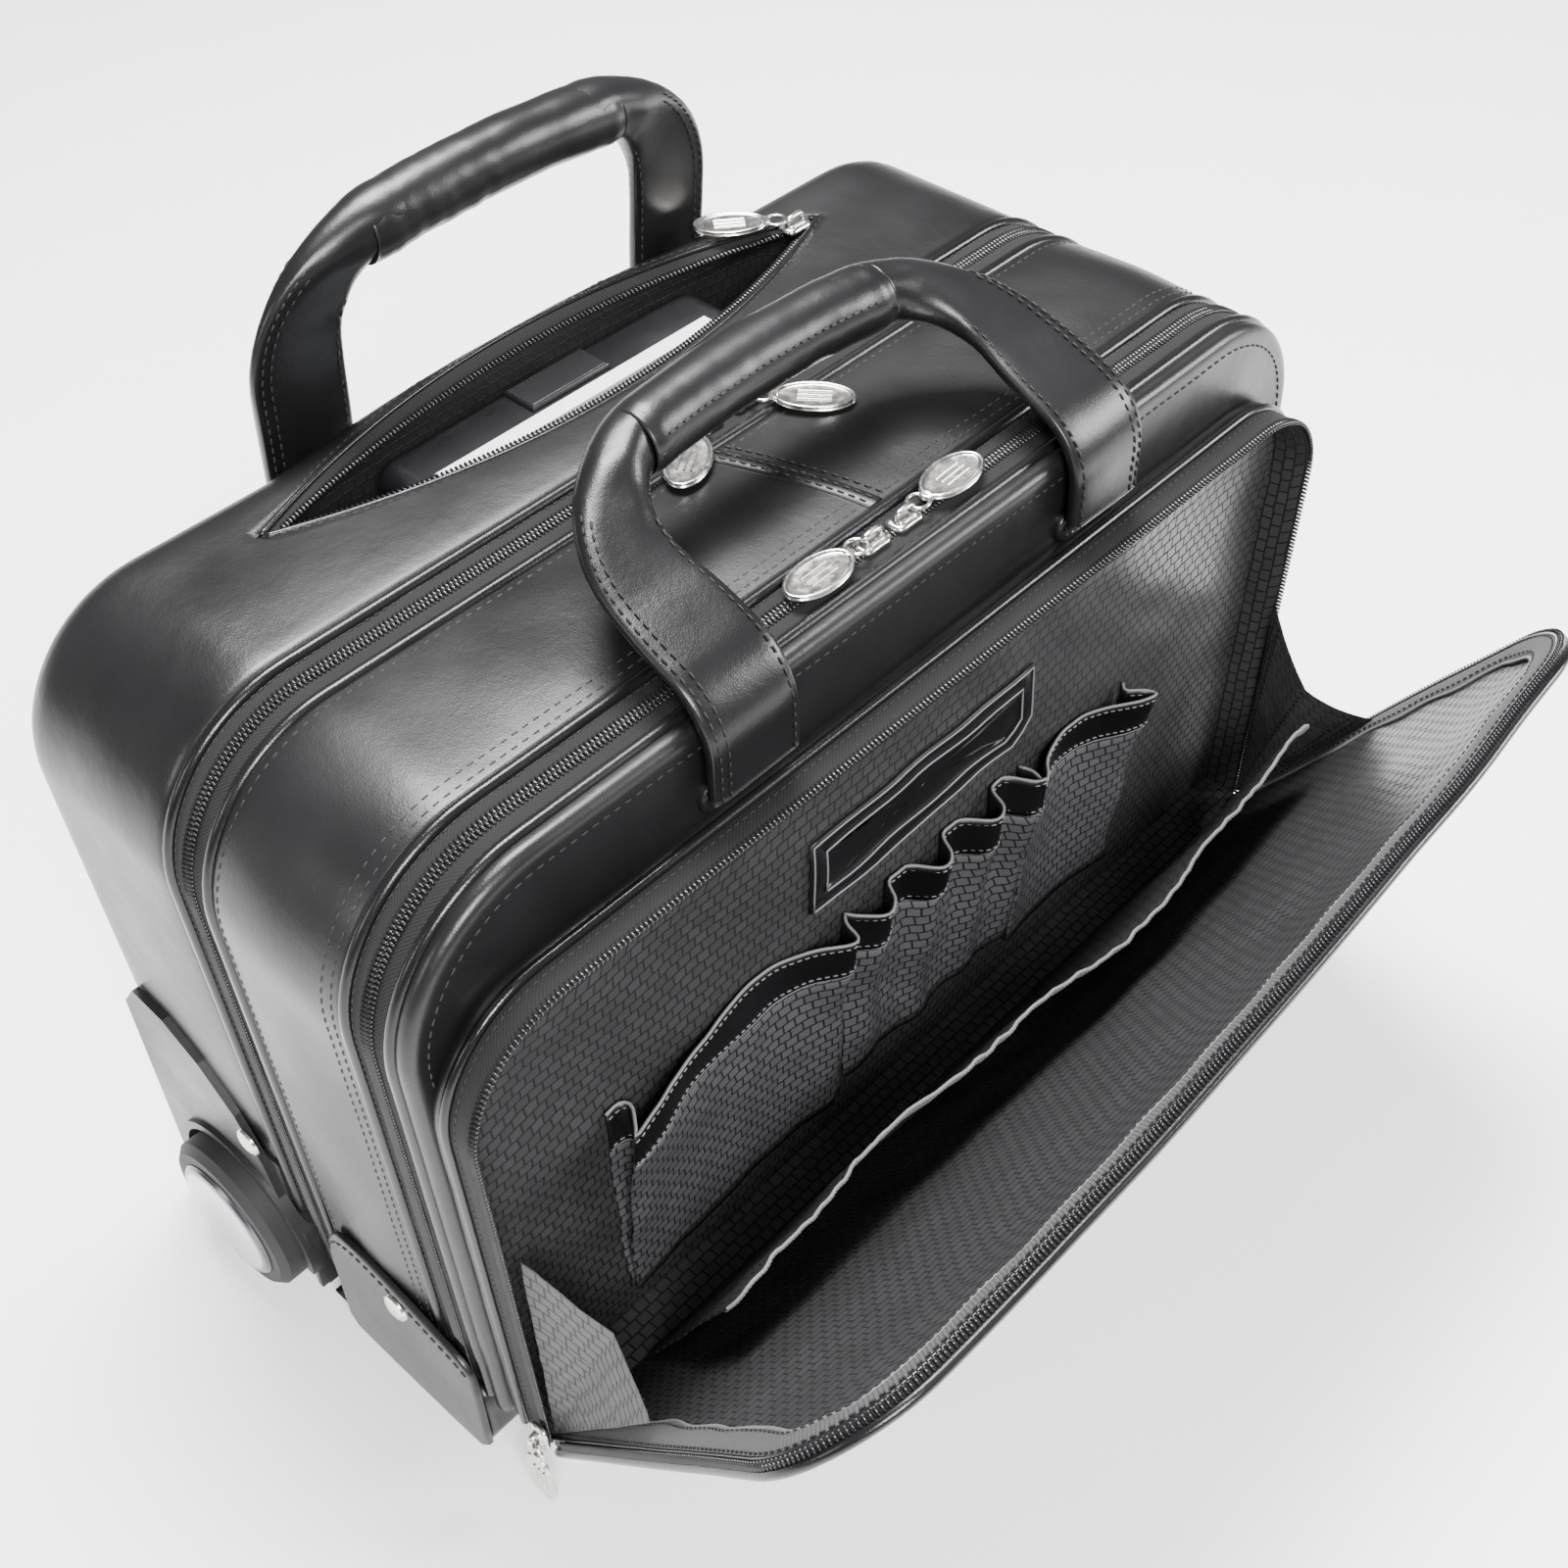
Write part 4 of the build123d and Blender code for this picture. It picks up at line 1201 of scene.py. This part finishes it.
def handle(tag, line, rear):
    """Two sewn straps that narrow into one wrapped grip. line is the bend in the side view, as (y, z)."""
    body = tag
    bend = spaced([Vector((y, z, 0)) for y, z in line], 2.0)
    lengths = [0.0]
    for a, b in zip(bend, bend[1:]):
        lengths.append(lengths[-1] + (b - a).length)
    rise = lengths[-1] - 12.0

    def at(s):
        s = max(s, 0.0)
        k = 0
        while k < len(bend) - 2 and lengths[k + 1] < s:
            k += 1
        a, b = bend[k], bend[k + 1]
        t = (b - a).normalized()
        p = a + t * (s - lengths[k])
        return p, Vector((-t.y, t.x, 0))

    def to_space(x, s, w):
        p, n = at(s)
        return (x, p.x + n.x * w, p.y + n.y * w)

    turn = 46.0
    path = [Vector((STRAP_X, 0, 0)), Vector((STRAP_X, rise - turn, 0))]
    for q in range(1, 13):
        a = math.radians(7.5 * q)
        path.append(Vector((STRAP_X - turn + turn * math.cos(a), rise - turn + turn * math.sin(a), 0)))
    path.append(Vector((36, rise, 0)))
    path = spaced(path, 2.0)
    for side, name in ((-1, "left"), (1, "right")):
        rows, edges = [], ([], [], [], [])
        count = len(path)
        for k, p in enumerate(path):
            t = (path[min(k + 1, count - 1)] - path[max(k - 1, 0)]).normalized()
            across = Vector((t.y, -t.x, 0))
            f = k / (count - 1)
            gather = smooth((f - 0.34) / 0.5)
            wide = mix(18.5, 10.4, gather)
            deep = mix(2.6, 10.8, smooth((f - 0.45) / 0.45))
            power = mix(0.38, 1.0, smooth((f - 0.4) / 0.45))
            row = []
            for i in range(28):
                a = 2 * math.pi * i / 28
                c, s_ = math.cos(a), math.sin(a)
                u = wide * abs(c) ** power * (1 if c >= 0 else -1)
                w = deep * abs(s_) ** power * (1 if s_ >= 0 else -1)
                crease = 1.0 * gather * wobble(p.x * 0.5, u, p.y * 0.35, 6.5,
                    2.0 + side) + 0.35 * wobble(p.x, u, p.y, 20, 1.0)
                q = p + across * u
                row.append(to_space(side * q.x, q.y, w + crease * (1 if s_ >= 0 else -1)))
            rows.append(row)
            for store, off in zip(edges, (0.86, 0.68, -0.84, 0.86)):
                if f < 0.66:
                    q = p + across * (wide * off)
                    back = store is edges[3]
                    fall = math.sqrt(max(1 - abs(off) ** (2 / power), 0)) ** power
                    top = (deep * fall + 0.3) * (-1 if back else 1)
                    n = at(q.y)[1]
                    store.append((to_space(side * q.x, q.y, top),
                        (0, n.x * (-1 if back else 1), n.y * (-1 if back else 1))))
        points, faces, uvs = grid(rows, loop_u=True)
        faces += [tuple(range(28)), tuple(reversed(range(len(points) - 28, len(points))))]
        faces = flipped(faces) if side > 0 else faces
        piece(f"{tag}_strap_{name}", points, faces, LEATHER_STRAP, body, uvs, replaces=(f"{tag}_straps",))
        paths = [([p for p, n in store], [n for p, n in store]) for store in edges]
        stitches(f"{tag}_strap_stitches_{name}", paths, body, 4.0)
    rows = []
    for k in range(93):
        f = k / 92
        x = mix(-GRIP_HALF, GRIP_HALF, f)
        end = smooth(min(f, 1 - f) / 0.05)
        grip_crease = mix(0.55, 0.16, smooth((f - 0.25) / 0.4)) if rear else 0.14
        row = []
        for i in range(32):
            a = 2 * math.pi * i / 32
            inner = 0.35 + 0.65 * smooth(0.5 - 0.8 * math.cos(a))
            r = mix(11.2, 12.2, end) + grip_crease * inner * wobble(x, 5 * math.cos(a), 5 * math.sin(a),
                5.5, 4.0)
            r += 0.3 * wobble(x, 9 * math.cos(a), 9 * math.sin(a), 16)
            row.append(to_space(x, rise - GRIP_DROP * (x / GRIP_HALF) ** 2 + r * math.cos(a),
                r * math.sin(a) * 0.96))
        rows.append(row)
    points, faces, uvs = grid(rows, loop_u=True)
    faces += [tuple(range(32)), tuple(reversed(range(len(points) - 32, len(points))))]
    grip = piece(f"{tag}_grip_wrap", points, faces, LEATHER_STRAP, body, uvs, replaces=(f"{tag}_grip",),
        slot="soft_grip")
    seam = [to_space(x, rise - GRIP_DROP * (x / GRIP_HALF) ** 2 - 8.6, -8.8 * (1 if rear else -1))
        for x in range(-50, 51, 3)]
    n = at(rise)[1]
    stitches(f"{tag}_grip_stitches", [(seam, [(0, -n.x, -n.y)] * len(seam))], body, 3.4, (2.6, 0.9, 0.6))


def eased(points, reach):
    """A bent line in the side view with its corners eased."""
    return [(p.x, p.y) for p in arcs([(y, z, 0) for y, z in points], [reach] * len(points), 2.0)]


grip_low, grip_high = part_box("rear_handle_grip")
grip_mid = (grip_low + grip_high) / 2 * 1000
start = (BACK + 6.4, 281.0)
aim = Vector((grip_mid.y - start[0], grip_mid.z - start[1], 0))
end = aim + aim.normalized() * 12
handle("rear_handle", [start, (start[0] + end.x, start[1] + end.y)], True)
grip_low, grip_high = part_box("front_handle_grip")
grip_mid = (grip_low + grip_high) / 2 * 1000
start = (FACE - 6.4, 273.0)
bend_at = (FACE - 6.4, 307.0)
aim = Vector((grip_mid.y - bend_at[0], grip_mid.z - bend_at[1], 0)).normalized()
line = eased([start, bend_at, (grip_mid.y + aim.x * 12, grip_mid.z + aim.y * 12)], 26.0)
handle("front_handle", line, False)


def rounded_box(u0, u1, v0, v1, radius, gap=3.0):
    """A rectangle with round corners as an anticlockwise loop."""
    loop = []
    for cu, cv, start in ((u1 - radius, v0 + radius, -90), (u1 - radius, v1 - radius, 0),
            (u0 + radius, v1 - radius, 90), (u0 + radius, v0 + radius, 180)):
        for q in range(7):
            a = math.radians(start + 15 * q)
            loop.append(Vector((cu + radius * math.cos(a), cv + radius * math.sin(a), 0)))
    return [(p.x, p.y) for p in spaced(loop, gap, True)]


for tag, body, y, way, low, high in (("rear_handle_feet", "case", BACK, 1, 205.0, 281.5),
        ("front_handle_feet", "front_section", FACE, -1, 262.8, 275.5)):
    for side, name in ((-1, "left"), (1, "right")):
        def on_face(u, v, w, s=side):
            return (s * u, y + way * w, v)
        loop = rounded_box(68.4, 105.6, low, high, 6.0)
        profile = [(0, 0), (0, 1.6), (0.5, 2.5), (1.4, 2.9), (3.5, 2.9), (5, 2.7)]
        points, faces = pad(loop, profile, on_face)
        flip = (side > 0) == (way > 0)
        piece(f"{tag}_{name}", points, flipped(faces) if flip else faces, LEATHER_STRAP, body,
            replaces=(tag,))
        sewn = rounded_box(71.5, 102.5, low + 3, high - 3, 4.0, 2.0)
        path = [(side * u, y + way * 3.1, v) for u, v in sewn + sewn[:1]]
        stitches(f"{tag}_stitches_{name}", [(path, [(0, way, 0)] * len(path))], body, 3.8)


# ---- zip sliders and pulls
def frame_from(origin, u, n):
    """A function that turns local (along, across, out) millimetres into a place."""
    u, n = Vector(u).normalized(), Vector(n).normalized()
    v = n.cross(u)
    return lambda a, b, c: tuple(Vector(origin) + u * a + v * b + n * c)


def link_ring(place, middle, across, thick, wire):
    """A flattened ring of wire."""
    path = []
    for k in range(28):
        a = 2 * math.pi * k / 28
        path.append(Vector((middle + across * math.cos(a), thick * math.sin(a), 0)))
    rows = tube(path, wire, 8, closed=True, up=(0, 0, 1))
    rows = [[place(p.x, p.y, p.z) for p in row] for row in rows]
    return grid(rows, loop_u=True, loop_v=True)[:2]


def slider_mesh(place):
    """A zip slider: a waisted plate, a raised top and the bridge that holds the ring."""
    parts = []
    loop = []
    for k in range(28):
        a = 2 * math.pi * k / 28
        c, s = math.cos(a), math.sin(a)
        waist = 1 - 0.16 * math.exp(-((6.6 * c) / 3.0) ** 2)
        loop.append((6.5 * abs(c) ** 0.75 * (1 if c >= 0 else -1),
            4.7 * waist * abs(s) ** 0.6 * (1 if s >= 0 else -1)))
    parts.append(pad(loop, [(0.5, 0.0), (0, 0.4), (0, 1.3), (0.35, 1.9), (1.1, 2.3), (1.9, 2.35)], place))
    parts.append(pad([(u * 0.72, v * 0.62) for u, v in loop],
        [(0, 2.2), (0, 2.6), (0.4, 2.95), (1.0, 3.05)], place))
    bridge = [(-4.3, 0, 2.6), (-4.2, 0, 4.4), (-3.2, 0, 5.6), (-1.2, 0, 6.0), (1.4, 0, 6.0), (3.3, 0, 5.6),
        (4.2, 0, 4.4), (4.3, 0, 2.6)]
    path = curve_through(bridge, 0.7)
    rows = tube(path, 0.78, 10, up=(0, 1, 0))
    rows = [[place(p.x, p.y * 1.5, p.z) for p in row] for row in rows]
    parts.append(grid(rows, loop_u=True)[:2])
    return merge(parts)


def pull_mesh(place):
    """A zip pull: a wire ring, a neck and an oval tab with three ridges."""
    parts = [link_ring(place, 7.4, 3.9, 3.7, 0.75)]
    neck = [(9.8, -1.7), (11.2, -2.6), (13.0, -3.6), (13.0, 3.6), (11.2, 2.6), (9.8, 1.7), (9.4, 0)]
    parts.append(pad(neck, [(0.4, 0), (0, 0.5), (0.2, 0.85), (0.7, 1.0)], place, both=True))
    oval = [(25.4 + 14.4 * math.cos(2 * math.pi * k / 48), 8.1 * math.sin(2 * math.pi * k / 48))
        for k in range(48)]
    rim = [(0.5, 0.0), (0.1, 0.45), (0, 0.8), (0.25, 1.05), (0.8, 1.1), (1.25, 0.95), (1.6, 0.55),
        (2.0, 0.45), (4.0, 0.45)]
    parts.append(pad(oval, rim, place, both=True))
    for way in (-1, 1):
        for row in (-2.4, 0.0, 2.4):
            path = [place(mix(19.5, 31.5, k / 8), row, way * 0.5) for k in range(9)]
            parts.append(grid(tube(path, 0.42, 6), loop_u=True)[:2])
    return merge(parts)


for joint in frame["joints"]:
    if not joint["name"].endswith("_pull_swing"):
        continue
    name = joint["child"]
    tag = name[:-5]
    hinge = Vector(joint["pos_m"]) * 1000
    axis = Vector(joint["axis"])
    low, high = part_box(name)
    middle = (low + high) / 2 * 1000
    out = middle - hinge
    out -= axis * out.dot(axis)
    out.normalize()
    if tag == "organizer":
        up = Vector((-1, 0, 0))
        run = Vector((0, 0, 1))
    else:
        up = Vector((0, 0, 1))
        run = Vector((1, 0, 0))
    low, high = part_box(f"{tag}_slider")
    seat = (low + high) / 2 * 1000
    seat -= up * (seat.dot(up) - min((low * 1000).dot(up), (high * 1000).dot(up)))
    points, faces = slider_mesh(frame_from(seat, run, up))
    piece(f"{tag}_slider_body", points, faces, NICKEL, f"{tag}_slider", replaces=(f"{tag}_slider",))
    points, faces = pull_mesh(frame_from(hinge, out, up))
    piece(f"{tag}_pull_tab", points, faces, NICKEL, f"{tag}_pull", replaces=(f"{tag}_pull",))


# ---- floor, light and camera
floor_mesh = bpy.data.meshes.new("floor")
floor_mesh.from_pydata([(-6, -6, 0), (6, -6, 0), (6, 6, 0), (-6, 6, 0)], [], [(0, 1, 2, 3)])
floor = bpy.data.objects.new("floor", floor_mesh)
bpy.context.collection.objects.link(floor)
floor_mesh.materials.append(plastic("floor_paper", (0.93, 0.93, 0.93), 0.7, 60.0, 0.02))
floor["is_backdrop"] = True

world = bpy.data.worlds.new("studio")
bpy.context.scene.world = world
world.use_nodes = True
world.node_tree.nodes["Background"].inputs[0].default_value = (1, 1, 1, 1)
world.node_tree.nodes["Background"].inputs[1].default_value = 0.3


def softbox(name, at, towards, size, power):
    """A rectangular studio light."""
    light = bpy.data.lights.new(name, "AREA")
    light.shape, light.size, light.size_y = "RECTANGLE", size[0], size[1]
    light.energy = power
    o = bpy.data.objects.new(name, light)
    bpy.context.collection.objects.link(o)
    o.location = at
    o.rotation_euler = (Vector(towards) - Vector(at)).to_track_quat("-Z", "Y").to_euler()


softbox("key", (-0.9, -1.3, 1.6), (0, 0, 0.15), (0.7, 0.6), 105)
softbox("top", (0.3, 0.5, 1.9), (0, 0, 0.2), (0.9, 0.7), 150)
softbox("side", (-1.7, 0.5, 0.9), (0, 0, 0.15), (0.5, 0.5), 8)
softbox("fill", (1.5, -1.2, 1.0), (0, 0, 0.2), (0.8, 0.7), 62)

azimuth, elevation, roll = (math.radians(a) for a in (-46.2101, 45.6050, -1.3075))
view_back = Vector((math.sin(azimuth) * math.cos(elevation), -math.cos(azimuth) * math.cos(elevation),
    math.sin(elevation)))
view_right = Vector((math.cos(azimuth), math.sin(azimuth), 0))
view_up = view_back.cross(view_right)
rolled_right = view_right * math.cos(roll) + view_up * math.sin(roll)
rolled_up = -view_right * math.sin(roll) + view_up * math.cos(roll)
lens = bpy.data.cameras.new("camera")
lens.sensor_width, lens.lens = 36.0, 45.33
camera = bpy.data.objects.new("camera", lens)
bpy.context.collection.objects.link(camera)
turn = Matrix((rolled_right, rolled_up, view_back)).transposed().to_4x4()
camera.matrix_world = Matrix.Translation(Vector((-0.38258, (BACK - 502.07) / 1000, 0.69437))) @ turn
bpy.context.scene.camera = camera

low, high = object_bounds()
{"cad": [list(cad_low), list(cad_high)], "visual": [list(low), list(high)]}
